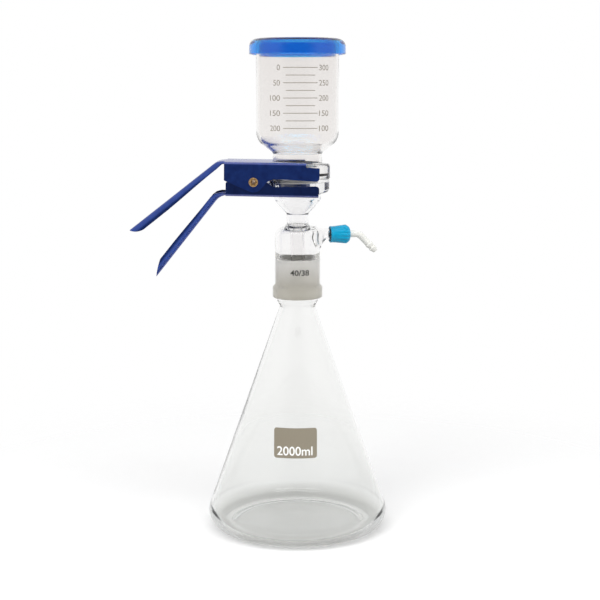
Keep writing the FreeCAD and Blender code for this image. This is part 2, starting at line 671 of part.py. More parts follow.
def lever_walls(name, web, width, jaw_depth, lean, slot, back, prongs):
    """The channel of one lever, web upwards, with its pivot at the origin."""
    body = doc.addObject("PartDesign::Body", name)
    top = "%s + Sizes.sheet" % web
    jaw = "%s + Sizes.sheet - %s" % (web, jaw_depth)
    tangent_back = "acos(Sizes.ear_radius / Sizes.ear_back)"
    tangent_front = "acos(Sizes.ear_radius / Sizes.ear_front)"

    side = sketch_on(body, name + "_side", "XZ_Plane")
    draw_outline(side, [
        ("-%s" % back, top),
        ("-%s" % back, "Sizes.back_notch / 2"),
        ("-Sizes.ear_back", "0"),
        ("-Sizes.ear_radius * cos(%s)" % tangent_back,
         "-Sizes.ear_radius * sin(%s)" % tangent_back),
        ("0", "-Sizes.ear_radius / 2"),
        ("Sizes.ear_radius * cos(%s)" % tangent_front,
         "-Sizes.ear_radius * sin(%s)" % tangent_front),
        ("Sizes.ear_front", "0"),
        ("Sizes.ear_fade", jaw),
        ("Sizes.wall_front", "%s - %s" % (jaw, lean)),
        ("Sizes.wall_front", top),
    ])
    block = body.newObject("PartDesign::Pad", name + "_block")
    block.Profile = side
    block.Midplane = True
    block.setExpression("Length", width)

    doc.recompute()
    corner = body.newObject("PartDesign::Fillet", name + "_corner")
    corner.Base = (block, [
        "Edge%d" % number for number, edge in enumerate(block.Shape.Edges, start=1)
        if edge.BoundBox.XMin > size("wall_front") - TOUCH
        and edge.BoundBox.YLength > size("sheet")
        and edge.BoundBox.ZMax < worth(jaw) + TOUCH])
    corner.setExpression("Radius", "Sizes.jaw_corner")

    ears = sketch_on(body, name + "_ears", "XZ_Plane")
    draw_circle(ears, "0", "0", "Sizes.ear_radius")
    ear_pad = body.newObject("PartDesign::Pad", name + "_ear_pad")
    ear_pad.Profile = ears
    ear_pad.Midplane = True
    ear_pad.setExpression("Length", width)
    doc.recompute()

    outside = body.newObject("PartDesign::Fillet", name + "_outer_folds")
    high = worth(top) - TOUCH
    outside.Base = (ear_pad, along_edges(
        ear_pad.Shape, lambda box: box.ZMin > high))
    outside.setExpression("Radius", "Sizes.bend_round")
    doc.recompute()

    hollow = sketch_on(body, name + "_hollow", "XZ_Plane")
    draw_outline(hollow, [
        ("-2 * %s" % back, web),
        ("-2 * %s" % back, "-2 * Sizes.ear_radius"),
        ("2 * Sizes.wall_front", "-2 * Sizes.ear_radius"),
        ("2 * Sizes.wall_front", web),
    ])
    inside = body.newObject("PartDesign::Pocket", name + "_inside")
    inside.Profile = hollow
    inside.Midplane = True
    inside.setExpression("Length", "%s - 2 * Sizes.sheet" % width)
    doc.recompute()

    folds = body.newObject("PartDesign::Fillet", name + "_inner_folds")
    under = worth(web)
    half = worth(width) / 2 - size("sheet")
    folds.Base = (inside, along_edges(
        inside.Shape,
        lambda box: abs(box.ZMin - under) < TOUCH and abs(abs(box.YMin) - half) < TOUCH))
    folds.setExpression("Radius", "Sizes.bend_round - Sizes.sheet")
    doc.recompute()

    fork = sketch_on(body, name + "_fork", "XY_Plane")
    draw_outline(fork, [
        ("Sizes.pivot_reach", slot),
        ("Sizes.pivot_reach", "-%s" % slot),
        ("2 * Sizes.wall_front", "-%s" % slot),
        ("2 * Sizes.wall_front", slot),
    ])
    fork_cut = body.newObject("PartDesign::Pocket", name + "_fork_cut")
    fork_cut.Profile = fork
    fork_cut.Midplane = True
    fork_cut.setExpression("Length", "4 * Sizes.wall_front")

    throat = sketch_on(body, name + "_throat", "XY_Plane")
    draw_circle(throat, "Sizes.pivot_reach", "0", slot)
    throat_cut = body.newObject("PartDesign::Pocket", name + "_throat_cut")
    throat_cut.Profile = throat
    throat_cut.Midplane = True
    throat_cut.setExpression("Length", "4 * Sizes.wall_front")

    nose = sketch_on(body, name + "_nose", "XZ_Plane")
    nose_back = "%s + Sizes.sheet - Sizes.bend_round - Sizes.nose_drop" % web
    nose_end = "%s - %s * (Sizes.wall_front - %s) / (Sizes.wall_front - Sizes.ear_fade)" % (
        nose_back, lean, prongs)
    draw_outline(nose, [
        (prongs, nose_back),
        ("Sizes.wall_front", nose_end),
        ("2 * Sizes.wall_front", nose_end),
        ("2 * Sizes.wall_front", "2 * (%s)" % top),
        (prongs, "2 * (%s)" % top),
    ])
    nose_cut = body.newObject("PartDesign::Pocket", name + "_nose_cut")
    nose_cut.Profile = nose
    nose_cut.Midplane = True
    nose_cut.setExpression("Length", "2 * %s" % width)

    eye = sketch_on(body, name + "_eye", "XZ_Plane")
    draw_circle(eye, "0", "0", "Sizes.tube_diameter / 2 + Sizes.tube_fit")
    eye_cut = body.newObject("PartDesign::Pocket", name + "_eye_cut")
    eye_cut.Profile = eye
    eye_cut.Midplane = True
    eye_cut.setExpression("Length", "2 * %s" % width)
    doc.recompute()
    return body


def channel_wire(width, depth, frame):
    """A closed channel section, its back up: outer skin, then inner skin."""
    wall = size("sheet")
    bend = min(size("handle_round"), depth - size("handle_lip"), width / 2 - wall)
    inner = max(bend - wall, size("handle_fold"))
    half = width / 2
    within = half - wall
    turn = math.sqrt(0.5)

    def at(across, up):
        return frame.multVec(Vector(0, across, up))

    def corner(side, centre_across, centre_up, radius):
        return at(side * (centre_across + radius * turn), centre_up + radius * turn)

    outer_centre = (half - bend, -bend)
    inner_centre = (within - inner, -wall - inner)
    edges = [
        Part.makeLine(at(-half, -depth), at(-half, -bend)),
        Part.Arc(at(-half, -bend), corner(-1, *outer_centre, bend),
                 at(bend - half, 0)).toShape(),
        Part.makeLine(at(bend - half, 0), at(half - bend, 0)),
        Part.Arc(at(half - bend, 0), corner(1, *outer_centre, bend),
                 at(half, -bend)).toShape(),
        Part.makeLine(at(half, -bend), at(half, -depth)),
        Part.makeLine(at(half, -depth), at(within, -depth)),
        Part.makeLine(at(within, -depth), at(within, -wall - inner)),
        Part.Arc(at(within, -wall - inner), corner(1, *inner_centre, inner),
                 at(within - inner, -wall)).toShape(),
        Part.makeLine(at(within - inner, -wall), at(inner - within, -wall)),
        Part.Arc(at(inner - within, -wall), corner(-1, *inner_centre, inner),
                 at(-within, -wall - inner)).toShape(),
        Part.makeLine(at(-within, -wall - inner), at(-within, -depth)),
        Part.makeLine(at(-within, -depth), at(-half, -depth)),
    ]
    return Part.Wire(edges)


# Where the handles' channels are drawn: steps round the bend, then shares of
# the straight part, closer together where the shape changes most.
BEND_STEPS = 4
HANDLE_SHARES = (0.05, 0.1, 0.16, 0.24, 0.34, 0.46, 0.6, 0.8, 1)


def eased(share):
    """Goes from 0 to 1 with a level start and end."""
    share = min(max(share, 0), 1)
    return share * share * (3 - 2 * share)


def handle_shape(name, web, start_at):
    """A handle: it leaves the web flat, bends, and becomes a deep channel.

    The channel's back is the side away from the other handle.  The upper
    handle bends towards its hollow side, the lower one towards its back.
    """
    wall = size("sheet")
    wide = size("strip_width")
    narrow = size("handle_width")
    radius = size(name + "_bend_radius")
    slope = math.radians(size(name + "_handle_slope"))
    length = size(name + "_handle_length")
    bend_depth = size(name + "_bend_depth")
    depth = size(name + "_handle_depth")
    tip_length = size(name + "_tip_length")
    tip_bulge = size(name + "_tip_bulge")
    least = wall + size("handle_lip")
    sign = 1 if name == "upper" else -1
    centre = Vector(start_at, 0, web + wall - sign * radius)

    def bent(turn):
        """The frame after part of the bend: X along, Z out of the back."""
        along = Vector(-math.cos(turn), 0, -sign * math.sin(turn))
        out = Vector(-sign * math.sin(turn), 0, math.cos(turn))
        return Placement(centre + out * (sign * radius),
                         Rotation(along, Vector(0, -1, 0), out, "ZXY"))

    def shifted(frame, distance):
        """The same frame further along its own X."""
        return frame.multiply(Placement(Vector(distance, 0, 0), Rotation()))

    flat = size(name + "_strip_length") + 2 * wall
    frames = [(shifted(bent(0), -flat), -flat), (bent(0), 0)]
    for step in range(1, BEND_STEPS + 1):
        turn = slope * step / BEND_STEPS
        frames.append((bent(turn), radius * turn))
    for share in HANDLE_SHARES:
        frames.append((shifted(bent(slope), share * length),
                       radius * slope + share * length))
    wires = []
    for frame, travel in frames:
        across = wide - (wide - narrow) * eased(
            travel / (size("narrow_share") * length))
        rim = least + (bend_depth - least) * eased(
            (travel + flat) / (flat + radius * slope))
        deep = rim + (depth - bend_depth) * eased(
            (travel - radius * slope) / (size("deepen_share") * length))
        wires.append(channel_wire(across, deep, frame))
    channel = Part.makeLoft(wires, True, True)

    # seen from the side, the rim comes up to the end of the back in an arc
    rim_end = Vector(length - tip_length, 0, -depth - size("handle_lip"))
    half_way = Vector(length - tip_length / 2, 0, -tip_bulge * depth)
    far = Vector(2 * length, 0, 0)
    below = Vector(length - tip_length, 0, -2 * depth)
    edges = [
        Part.Arc(Vector(length, 0, 0), half_way, rim_end).toShape(),
        Part.makeLine(rim_end, below),
        Part.makeLine(below, far + Vector(0, 0, -2 * depth)),
        Part.makeLine(far + Vector(0, 0, -2 * depth), far),
        Part.makeLine(far, Vector(length, 0, 0)),
    ]
    beyond = Part.Face(Part.Wire(edges)).extrude(Vector(0, 2 * wide, 0))
    beyond.translate(Vector(0, -wide, 0))
    beyond.Placement = bent(slope).multiply(beyond.Placement)
    return channel.cut(beyond)


def lever(name, slot):
    """One whole lever about its pivot, web upwards."""
    web = "Places.%s_web" % name
    back = "Sizes.%s_wall_back" % name
    walls = lever_walls(
        name + "_walls", web, "Places.%s_width" % name,
        "Sizes.%s_jaw_depth" % name, "Sizes.%s_jaw_lean" % name, slot, back,
        "Places.%s_prongs" % name)
    handle = doc.addObject("Part::Feature", name + "_handle")
    bend_start = "-%s - Sizes.%s_strip_length" % (back, name)
    handle.Shape = handle_shape(name, worth(web), worth(bend_start))
    whole = doc.addObject("Part::Fuse", name + "_lever")
    whole.Base = walls
    whole.Tool = handle
    whole.Refine = False
    return whole


pivot = Vector(-size("pivot_reach"), 0, place("pivot_level"))
tilt_axis = Vector(0, 1, 0)

upper_lever = lever("upper", "Places.upper_slot")
upper_lever.Placement = Placement(pivot, Rotation(tilt_axis, size("upper_tilt")))

lower_lever = lever("lower", "Places.lower_slot")
turn_over = Rotation(Vector(1, 0, 0), 180)
lower_lever.Placement = Placement(
    pivot, Rotation(tilt_axis, size("lower_tilt")).multiply(turn_over))


# ---------------------------------------------------------------- pivot tube

# A brass tube through both levers' ears, its two ends flared over.
head_rest = "Places.upper_width / 2 + Sizes.head_gap"
head_end = "Places.upper_width / 2 + Sizes.head_gap + Sizes.head_height"
lips = [("Sizes.head_diameter / 2", head_end),
        ("Sizes.head_diameter / 2", "-(%s)" % head_end)]
pivot_tube = turned("pivot_tube", [
    ("Sizes.tube_bore / 2", "-(%s)" % head_end),
    ("Sizes.head_diameter / 2", "-(%s)" % head_end),
    ("Sizes.head_diameter / 2", "-(%s)" % head_rest),
    ("Sizes.tube_diameter / 2", "-(%s)" % head_rest),
    ("Sizes.tube_diameter / 2", head_rest),
    ("Sizes.head_diameter / 2", head_rest),
    ("Sizes.head_diameter / 2", head_end),
    ("Sizes.tube_bore / 2", head_end),
], [
    ("Sizes.head_round", lips),
])
pivot_tube.Placement = Placement(pivot, Rotation(Vector(1, 0, 0), 90))


# -------------------------------------------------------------------- spring

# A steel torsion spring round the tube.  Its legs push the handles apart,
# which holds the jaws shut on the flanges.

def spring_shape():
    """Coils about the pivot with two legs that leave them along tangents."""
    radius = size("coil_diameter") / 2
    wire = size("wire_diameter") / 2
    pitch = size("coil_pitch")
    upper_tilt = math.radians(size("upper_tilt"))
    lower_tilt = math.radians(size("lower_tilt"))

    def press_point(reach, web, tilt, side):
        """Where a leg's middle line ends, a hair off the web's inner face."""
        up = side * (web - wire - size("leg_gap"))
        turned_x = -reach * math.cos(tilt) + up * math.sin(tilt)
        turned_z = up * math.cos(tilt) + reach * math.sin(tilt)
        return turned_x, turned_z

    def tangent_angle(point, sense):
        """Angle on the coil from which a tangent leads to the point."""
        distance = math.hypot(*point)
        return math.atan2(point[1], point[0]) - sense * math.acos(radius / distance)

    upper = press_point(size("upper_leg_reach"), place("upper_web"), upper_tilt, 1)
    lower = press_point(size("lower_leg_reach"), place("lower_web"), lower_tilt, -1)
    first = tangent_angle(lower, -1)
    last = tangent_angle(upper, 1)
    while last < first:
        last += 2 * math.pi
    turns = size("coil_turns") + (last - first) / (2 * math.pi)
    length = turns * pitch

    # the helix climbs Z; turn it so that Z runs along -Y and angles match X, Z
    helix = Part.makeHelix(pitch, length, radius)
    helix.rotate(Vector(0, 0, 0), Vector(0, 0, 1), math.degrees(first))
    helix.rotate(Vector(0, 0, 0), Vector(1, 0, 0), 90)
    helix.translate(Vector(0, length / 2, 0))

    def on_coil(angle, level):
        """The coil's middle line at one of its ends."""
        return Vector(radius * math.cos(angle), level, radius * math.sin(angle))

    lower_end = Vector(lower[0], length / 2, lower[1])
    upper_end = Vector(upper[0], -length / 2, upper[1])
    coil_start = on_coil(first, length / 2)
    coil_end = on_coil(last, -length / 2)
    path = Part.Wire([Part.makeLine(lower_end, coil_start)] + list(helix.Edges)
                     + [Part.makeLine(coil_end, upper_end)])
    section = Part.Wire(Part.makeCircle(wire, lower_end, coil_start - lower_end))
    shape = path.makePipeShell([section], True, True)
    shape.translate(pivot)
    return shape


torsion_spring = doc.addObject("Part::Feature", "torsion_spring")
torsion_spring.Shape = spring_shape()


# ------------------------------------------------------------ hose connection

# A moulded screw cap holds the barb's flange and a washer on the glass end.
# All are turned about the side arm's axis, whose distances run from the
# unit's main axis.
cap_crown_edge = ("Sizes.cap_large_diameter / 2", "Places.cap_face - Sizes.cap_crown")
cap_rim = ("Sizes.cap_small_diameter / 2", "Places.cap_back")
hose_cap = turned("hose_cap", [
    ("Sizes.thread_diameter / 2 + Sizes.thread_gap", "Places.cap_back"),
    cap_rim,
    cap_crown_edge,
    ("Sizes.cap_face_diameter / 2", "Places.cap_face"),
    ("Sizes.barb_diameter / 2 + Sizes.barb_fit", "Places.cap_face"),
    ("Sizes.barb_diameter / 2 + Sizes.barb_fit", "Places.cap_inside"),
    ("Sizes.thread_diameter / 2 + Sizes.thread_gap", "Places.cap_inside"),
], [
    ("Sizes.land_round", [cap_crown_edge, cap_rim]),
])

flute_sketch = sketch_on(hose_cap, "flute_sketch", "XY_Plane")
draw_circle(flute_sketch, "Sizes.cap_large_diameter / 2 + Sizes.flute_offset", "0",
            "Sizes.flute_diameter / 2")
flute = hose_cap.newObject("PartDesign::Pocket", "flute")
flute.Profile = flute_sketch
flute.Midplane = True
flute.setExpression("Length", "4 * Places.cap_face")
doc.recompute()
flutes = hose_cap.newObject("PartDesign::PolarPattern", "flutes")
flutes.Originals = [flute]
flutes.Axis = (flute_sketch, ["N_Axis"])
flutes.Angle = 360
flutes.setExpression("Occurrences", "Sizes.cap_flutes")
hose_cap.Tip = flutes
hose_cap.Placement = arm_placement()

hose_seal = turned("hose_seal", [
    ("Sizes.seal_bore / 2", "Sizes.arm_length"),
    ("Sizes.thread_diameter / 2 - Sizes.thread_gap", "Sizes.arm_length"),
    ("Sizes.thread_diameter / 2 - Sizes.thread_gap", "Places.seal_end"),
    ("Sizes.seal_bore / 2", "Places.seal_end"),
])
hose_seal.Placement = arm_placement()

# The barb: a flange and a straight stem, an elbow, and a ridged tail.
stem_corner = "Sizes.barb_elbow - Sizes.barb_bend_radius * tan(Sizes.barb_bend / 2 * 1deg)"
tail_start = "Sizes.barb_bend_radius * tan(Sizes.barb_bend / 2 * 1deg)"
ridge_front = "Sizes.barb_tail - Sizes.ridge_pitch"
ridge_rear = "Sizes.barb_tail - 2 * Sizes.ridge_pitch"
barb_stem = turned("barb_stem", [
    ("0", "Places.seal_end + Sizes.barb_fit"),
    ("Sizes.thread_diameter / 2 - Sizes.thread_gap", "Places.seal_end + Sizes.barb_fit"),
    ("Sizes.thread_diameter / 2 - Sizes.thread_gap",
     "Places.cap_inside - Sizes.barb_fit"),
    ("Sizes.barb_diameter / 2", "Places.cap_inside - Sizes.barb_fit"),
    ("Sizes.barb_diameter / 2", stem_corner),
    ("0", stem_corner),
])
barb_tail = turned("barb_tail", [
    ("0", tail_start),
    ("Sizes.barb_diameter / 2", tail_start),
    ("Sizes.barb_diameter / 2", "%s - Sizes.ridge_back" % ridge_rear),
    ("Sizes.ridge_diameter / 2", ridge_rear),
    ("Sizes.ridge_root_diameter / 2", "%s - Sizes.ridge_dip" % ridge_front),
    ("Sizes.front_ridge_diameter / 2", ridge_front),
    ("Sizes.barb_tip_diameter / 2", "Sizes.barb_tail"),
    ("0", "Sizes.barb_tail"),
])


def elbow(name, radius):
    """A piece of a ring that joins the stem to the tail, in the stem's frame."""
    ring = doc.addObject("Part::Torus", name)
    ring.setExpression("Radius1", "Sizes.barb_bend_radius")
    ring.setExpression("Radius2", radius)
    ring.setExpression("Angle3", "Sizes.barb_bend")
    return ring


def elbow_placement():
    """The ring starts on the stem's axis and turns towards the ground."""
    local = Placement(
        Vector(size("barb_bend_radius"), 0, worth(stem_corner)),
        Rotation(Vector(-1, 0, 0), Vector(0, 0, 1), Vector(0, 1, 0), "XYZ"))
    return arm_placement().multiply(local)


def tail_placement():
    """From the tail's own axis to its place below the elbow."""
    corner = Placement(Vector(0, 0, size("barb_elbow")),
                       Rotation(Vector(0, 1, 0), size("barb_bend")))
    return arm_placement().multiply(corner)


barb_stem.Placement = arm_placement()
barb_tail.Placement = tail_placement()
barb_elbow = elbow("barb_elbow", "Sizes.barb_diameter / 2")
barb_elbow.Placement = elbow_placement()

bore_stem = doc.addObject("Part::Cylinder", "bore_stem")
bore_stem.setExpression("Radius", "Sizes.barb_bore / 2")
bore_stem.setExpression("Height", stem_corner)
bore_stem.Placement = arm_placement()
bore_elbow = elbow("bore_elbow", "Sizes.barb_bore / 2")
bore_elbow.Placement = elbow_placement()
bore_tail = doc.addObject("Part::Cylinder", "bore_tail")
bore_tail.setExpression("Radius", "Sizes.barb_bore / 2")
bore_tail.setExpression("Height", "Sizes.barb_tail")
bore_tail.Placement = tail_placement().multiply(
    Placement(Vector(0, 0, worth(tail_start)), Rotation()))

barb_solid = doc.addObject("Part::MultiFuse", "barb_solid")
barb_solid.Shapes = [barb_stem, barb_elbow, barb_tail]
barb_bore = doc.addObject("Part::MultiFuse", "barb_bore")
barb_bore.Shapes = [bore_stem, bore_elbow, bore_tail]
hose_barb = doc.addObject("Part::Cut", "hose_barb")
hose_barb.Base = barb_solid
hose_barb.Tool = barb_bore


# -------------------------------------------------------------------- output

NODES = (flask_foot, flask_lower_side, flask_upper_side, flask_neck, receiver_head,
         drip_tube, head_bowl, frit_disc, funnel, lid, upper_lever, lower_lever,
         pivot_tube, torsion_spring, hose_cap, hose_barb, hose_seal)

doc.recompute()
for thing in doc.Objects:
    if "Invalid" in thing.State or "Error" in thing.State:
        raise RuntimeError("%s did not build: %s" % (thing.Name, thing.State))

os.makedirs("parts", exist_ok=True)
for node in NODES:
    shape = node.Shape
    if shape.isNull() or not shape.isValid():
        raise RuntimeError("%s has no sound shape" % node.Label)
    if len(shape.Solids) != 1:
        raise RuntimeError("%s is %d solids" % (node.Label, len(shape.Solids)))
    box = shape.BoundBox
    print("%-16s volume %10.1f  X %7.1f..%6.1f  Y %6.1f..%5.1f  Z %6.1f..%6.1f" % (
        node.Label, shape.Volume, box.XMin, box.XMax, box.YMin, box.YMax,
        box.ZMin, box.ZMax))
    shape.exportStep("parts/%s.step" % node.Label)
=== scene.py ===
import bmesh
import bpy
import numpy as np
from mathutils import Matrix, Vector


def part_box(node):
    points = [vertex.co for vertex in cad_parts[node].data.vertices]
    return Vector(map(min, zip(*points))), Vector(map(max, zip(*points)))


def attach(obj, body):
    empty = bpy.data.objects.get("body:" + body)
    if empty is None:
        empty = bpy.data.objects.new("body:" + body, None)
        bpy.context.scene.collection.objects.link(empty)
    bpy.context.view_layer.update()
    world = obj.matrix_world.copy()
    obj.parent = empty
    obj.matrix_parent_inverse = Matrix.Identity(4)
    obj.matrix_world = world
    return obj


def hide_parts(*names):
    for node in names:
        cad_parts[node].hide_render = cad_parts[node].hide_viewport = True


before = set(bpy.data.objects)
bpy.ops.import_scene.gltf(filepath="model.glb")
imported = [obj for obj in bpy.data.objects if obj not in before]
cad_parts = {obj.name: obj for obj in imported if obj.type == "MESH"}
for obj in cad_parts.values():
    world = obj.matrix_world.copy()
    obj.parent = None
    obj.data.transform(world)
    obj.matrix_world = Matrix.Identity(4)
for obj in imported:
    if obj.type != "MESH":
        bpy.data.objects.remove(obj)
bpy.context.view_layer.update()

# ---------------------------------------------------------------- conical flask
# A two litre conical flask, blown from borosilicate glass in one piece and
# drawn in to a neck.  The neck's end is ground to a cone, so it looks frosted.

MM = 0.001
arc_step = 0.07
glass_index = 1.473

# painted shade on the foot's thick corner, for the shadowed floor seen through it, starts
# this far in from the foot's edge and this high, in mm, and is full at the second pair
corner_start, corner_full = (18, 17), (5, 3)
foot_painted_shade = (0.62, 0.625, 0.60, 1)


def outline(corners):
    """A closed half-section, counterclockwise, from corners (r, z, round) in mm.

    A corner with a round becomes the arc of that radius that touches both of
    its runs: the arc's middle lies on the line that halves the corner, at
    round / sin(half the corner's angle) from it.
    """
    count = len(corners)
    points = []
    for number, corner in enumerate(corners):
        here = np.array(corner[:2], float)
        if len(corner) < 3:
            points.append(here[None])
            continue
        bend = corner[2]
        back = np.array(corners[number - 1][:2]) - here
        ahead = np.array(corners[(number + 1) % count][:2]) - here
        back = back / np.linalg.norm(back)
        ahead = ahead / np.linalg.norm(ahead)
        half = np.arccos(np.clip(back @ ahead, -1, 1)) / 2
        halving = (back + ahead) / np.linalg.norm(back + ahead)
        middle = here + halving * bend / np.sin(half)
        first = here + back * bend / np.tan(half) - middle
        last = here + ahead * bend / np.tan(half) - middle
        start = np.arctan2(first[1], first[0])
        sweep = (np.arctan2(last[1], last[0]) - start + np.pi) % (2 * np.pi) - np.pi
        angle = start + sweep * np.linspace(0, 1, 3 + int(abs(sweep) / arc_step))
        points.append(middle + bend * np.stack([np.cos(angle), np.sin(angle)], 1))
    return np.concatenate(points) * MM


def in_scene(name, data):
    """A new object that holds the data, put in the scene."""
    thing = bpy.data.objects.new(name, data)
    bpy.context.scene.collection.objects.link(thing)
    return thing


def smooth_mesh(name, points, faces, sharp=32):
    """A smoothly shaded object; edges that turn by more than sharp degrees stay crisp."""
    mesh = bpy.data.meshes.new(name)
    faces = faces.reshape(-1, faces.shape[-1])
    mesh.from_pydata(points.reshape(-1, 3).tolist(), [], faces.tolist())
    work = bmesh.new()
    work.from_mesh(mesh)
    bmesh.ops.remove_doubles(work, verts=work.verts, dist=1e-7)
    work.to_mesh(mesh)
    work.free()
    mesh.shade_smooth()
    mesh.set_sharp_from_angle(angle=np.radians(sharp))
    return in_scene(name, mesh)


def grid_faces(rows, columns, closed_rows=False):
    """Quads of a grid whose columns close round, and whose rows may."""
    row = np.arange(rows if closed_rows else rows - 1)[:, None]
    column = np.arange(columns)[None]
    after, beside = (row + 1) % rows, (column + 1) % columns
    return np.stack([row * columns + column, row * columns + beside,
                     after * columns + beside, after * columns + column], 2)


def turned(name, section, around=256, sharp=32):
    """A half-section turned about Z: (r, z) at angle a goes to (r cos a, r sin a, z)."""
    angle = np.linspace(0, 2 * np.pi, around, endpoint=False)
    radius, height = section[:, :1], section[:, 1:]
    points = np.stack([radius * np.cos(angle), radius * np.sin(angle),
                       height + 0 * angle], 2)
    return smooth_mesh(name, points, grid_faces(len(section), around, True), sharp)


def node_adder(tree):
    """A function that adds nodes to a tree."""
    def node(kind, inputs=(), **settings):
        """Adds a node: plain values go on its sockets, sockets are linked to them."""
        new = tree.nodes.new("ShaderNode" + kind)
        for key, value in settings.items():
            setattr(new, key, value)
        for key, value in dict(inputs).items():
            if isinstance(value, bpy.types.NodeSocket):
                tree.links.new(value, new.inputs[key])
            else:
                new.inputs[key].default_value = value
        return new

    return node


def shader(name, values):
    """A new material, its Principled shader with some values, and its node adder."""
    material = bpy.data.materials.new(name)
    material.use_nodes = True
    principled = material.node_tree.nodes["Principled BSDF"]
    for key, value in values.items():
        principled.inputs[key].default_value = value
    return material, principled, node_adder(material.node_tree)


def link(material, socket, target):
    """Joins two sockets of one material."""
    material.node_tree.links.new(socket, target)


def sums(node, how, first, second):
    """The result of one sum on two values."""
    return node("Math", {0: first, 1: second}, operation=how).outputs[0]


def between(node, value, start, end, low=0.0, high=1.0, way="LINEAR"):
    """Passes from low to high while the value goes from start to end."""
    return node("MapRange", {"Value": value, "From Min": start, "From Max": end,
                             "To Min": low, "To Max": high},
                interpolation_type=way).outputs["Result"]


def grain(node, scale, detail=2.0, roughness=0.5):
    """A random pattern that is fixed to the piece, with scale cells to the metre."""
    return node("TexNoise", {"Vector": node("TexCoord").outputs["Object"],
                             "Scale": scale, "Detail": detail,
                             "Roughness": roughness}).outputs["Fac"]


def tones(node, share, *stops):
    """A colour that passes evenly from each (share, colour) stop to the next."""
    ramp = node("ValToRGB", {"Fac": share})
    elements = ramp.color_ramp.elements
    for place, colour in stops[1:-1]:
        elements.new(place).color = (*colour, 1)
    for end, (place, colour) in ((0, stops[0]), (-1, stops[-1])):
        elements[end].position = place
        elements[end].color = (*colour, 1)
    return ramp.outputs["Color"]


def bump(material, body, node, height, strength, depth):
    """Shades the surface as if a pattern stood up by a share of a depth in metres."""
    relief = node("Bump", {"Height": height, "Strength": strength, "Distance": depth})
    link(material, relief.outputs["Normal"], body.inputs["Normal"])


def absorb(material, node, colour, density):
    """Takes all but a colour's light on the way through, at a density for each metre."""
    depth = node("VolumeAbsorption", {"Color": (*colour, 1), "Density": density})
    link(material, depth.outputs["Volume"],
         material.node_tree.nodes["Material Output"].inputs["Volume"])


def glass_volume(material, node):
    """Thick stretches of glass, seen edge on, take a little of the light."""
    absorb(material, node, (0.42, 0.46, 0.45), 5)


def clear_glass(name, *tints, foot=None):
    """Blown borosilicate glass: very smooth, with the slow waves of hand work.

    Its faint tint passes evenly from each (height in mm, tint) to the next.  Where
    a foot's radius is given, in mm, the corner round it gets painted shade: grey for the
    shadowed floor seen through the foot.
    """
    material, body, node = shader(name, {
        "Roughness": 0.0, "IOR": glass_index, "Transmission Weight": 1.0})
    place = node("TexCoord").outputs["Object"]
    level = node("SeparateXYZ", {"Vector": place}).outputs["Z"]
    low, high = tints[0][0], tints[-1][0]
    tint = tones(node, between(node, level, low * MM, high * MM),
                 *[((height - low) / (high - low), colour) for height, colour in tints])
    if foot:
        flat = node("VectorMath", {0: place, 1: (1, 1, 0)}, operation="MULTIPLY")
        spread = node("VectorMath", {0: flat.outputs[0]}, operation="LENGTH")
        outer = between(node, spread.outputs["Value"], (foot - corner_start[0]) * MM,
                        (foot - corner_full[0]) * MM)
        lower = between(node, level, corner_start[1] * MM, corner_full[1] * MM)
        # painted shade: the foot's thick corner is mixed towards grey, for the shadowed
        # floor seen through it
        tint = node("MixRGB", {"Fac": sums(node, "MULTIPLY", outer, lower),
                               "Color1": tint, "Color2": foot_painted_shade}).outputs["Color"]
    link(material, tint, body.inputs["Base Color"])
    bump(material, body, node, grain(node, 26, 1, 0.4), 0.05, 0.002)
    glass_volume(material, node)
    return material


def ground_glass(low, high):
    """The ground face: fine frosting that scatters what shines through it.

    It pales from the height low to the height high, both in mm: darker towards the bottom.
    """
    material, body, node = shader("ground_glass", {
        "Roughness": 0.6, "IOR": glass_index, "Transmission Weight": 0.12,
        "Specular IOR Level": 0.25})
    place = node("TexCoord").outputs["Object"]
    level = node("SeparateXYZ", {"Vector": place}).outputs["Z"]
    frosting = grain(node, 900, 3)
    mottled = sums(node, "ADD", between(node, level, low * MM, high * MM),
                   between(node, frosting, 0, 1, -0.12, 0.12))
    tint = tones(node, mottled, (0.3, (0.70, 0.67, 0.59)), (0.85, (1.0, 0.985, 0.945)))
    link(material, tint, body.inputs["Base Color"])
    bump(material, body, node, frosting, 0.15, 0.0001)
    glass_volume(material, node)
    return material


def frost(thing, test):
    """Gives the ground finish to the faces whose middle (r, z), in mm, passes a test."""
    middles = np.zeros(len(thing.data.polygons) * 3)
    thing.data.polygons.foreach_get("center", middles)
    middles = middles.reshape(-1, 3) / MM
    chosen = test(np.hypot(middles[:, 0], middles[:, 1]), middles[:, 2])
    thing.data.polygons.foreach_set("material_index", chosen.astype(np.int32))
    thing.data.update()


flask_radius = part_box("flask_foot")[1].x / MM
neck_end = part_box("flask_neck")[1].z / MM
joint_length = 38
joint_foot = neck_end - joint_length
side_lean = np.radians(19.4)
slope = np.tan(side_lean)
side_wall = 2.4 / np.cos(side_lean)
foot_round = 16
foot_corner = flask_radius + foot_round * (slope + np.sqrt(1 + slope ** 2) - 1)
foot_rise, floor_top = 1.5, 4.7
waist_radius = 17.2
waist = (foot_corner - waist_radius) / slope
cone_start = waist + 4.6
cone_large = 19.98
neck_bore = 15.5
# the tint greys from 9 mm down to 1 mm: painted shade of the shadowed floor under the foot
clear = clear_glass("flask_glass", (1, (0.86, 0.865, 0.85)), (9, (0.95, 0.955, 0.945)),
                    (210, (0.965, 0.965, 0.96)), foot=flask_radius)
ground = ground_glass(joint_foot, neck_end)
flask = turned("flask_glass", outline([
    (0, foot_rise),
    (60, foot_rise, 30),
    (66, 0, 8),
    (foot_corner, 0, foot_round),
    (waist_radius, waist, 2.3),
    (cone_large, cone_start, 2.3),
    (cone_large, joint_foot),
    (18.08, neck_end, 0.5),
    (neck_bore, neck_end, 0.9),
    (neck_bore, cone_start, 2.5),
    (waist_radius - side_wall, waist, 2.5),
    (foot_corner - side_wall - floor_top * slope, floor_top, 13.6),
    (0, floor_top),
]), 320)
flask.data.materials.append(clear)
flask.data.materials.append(ground)
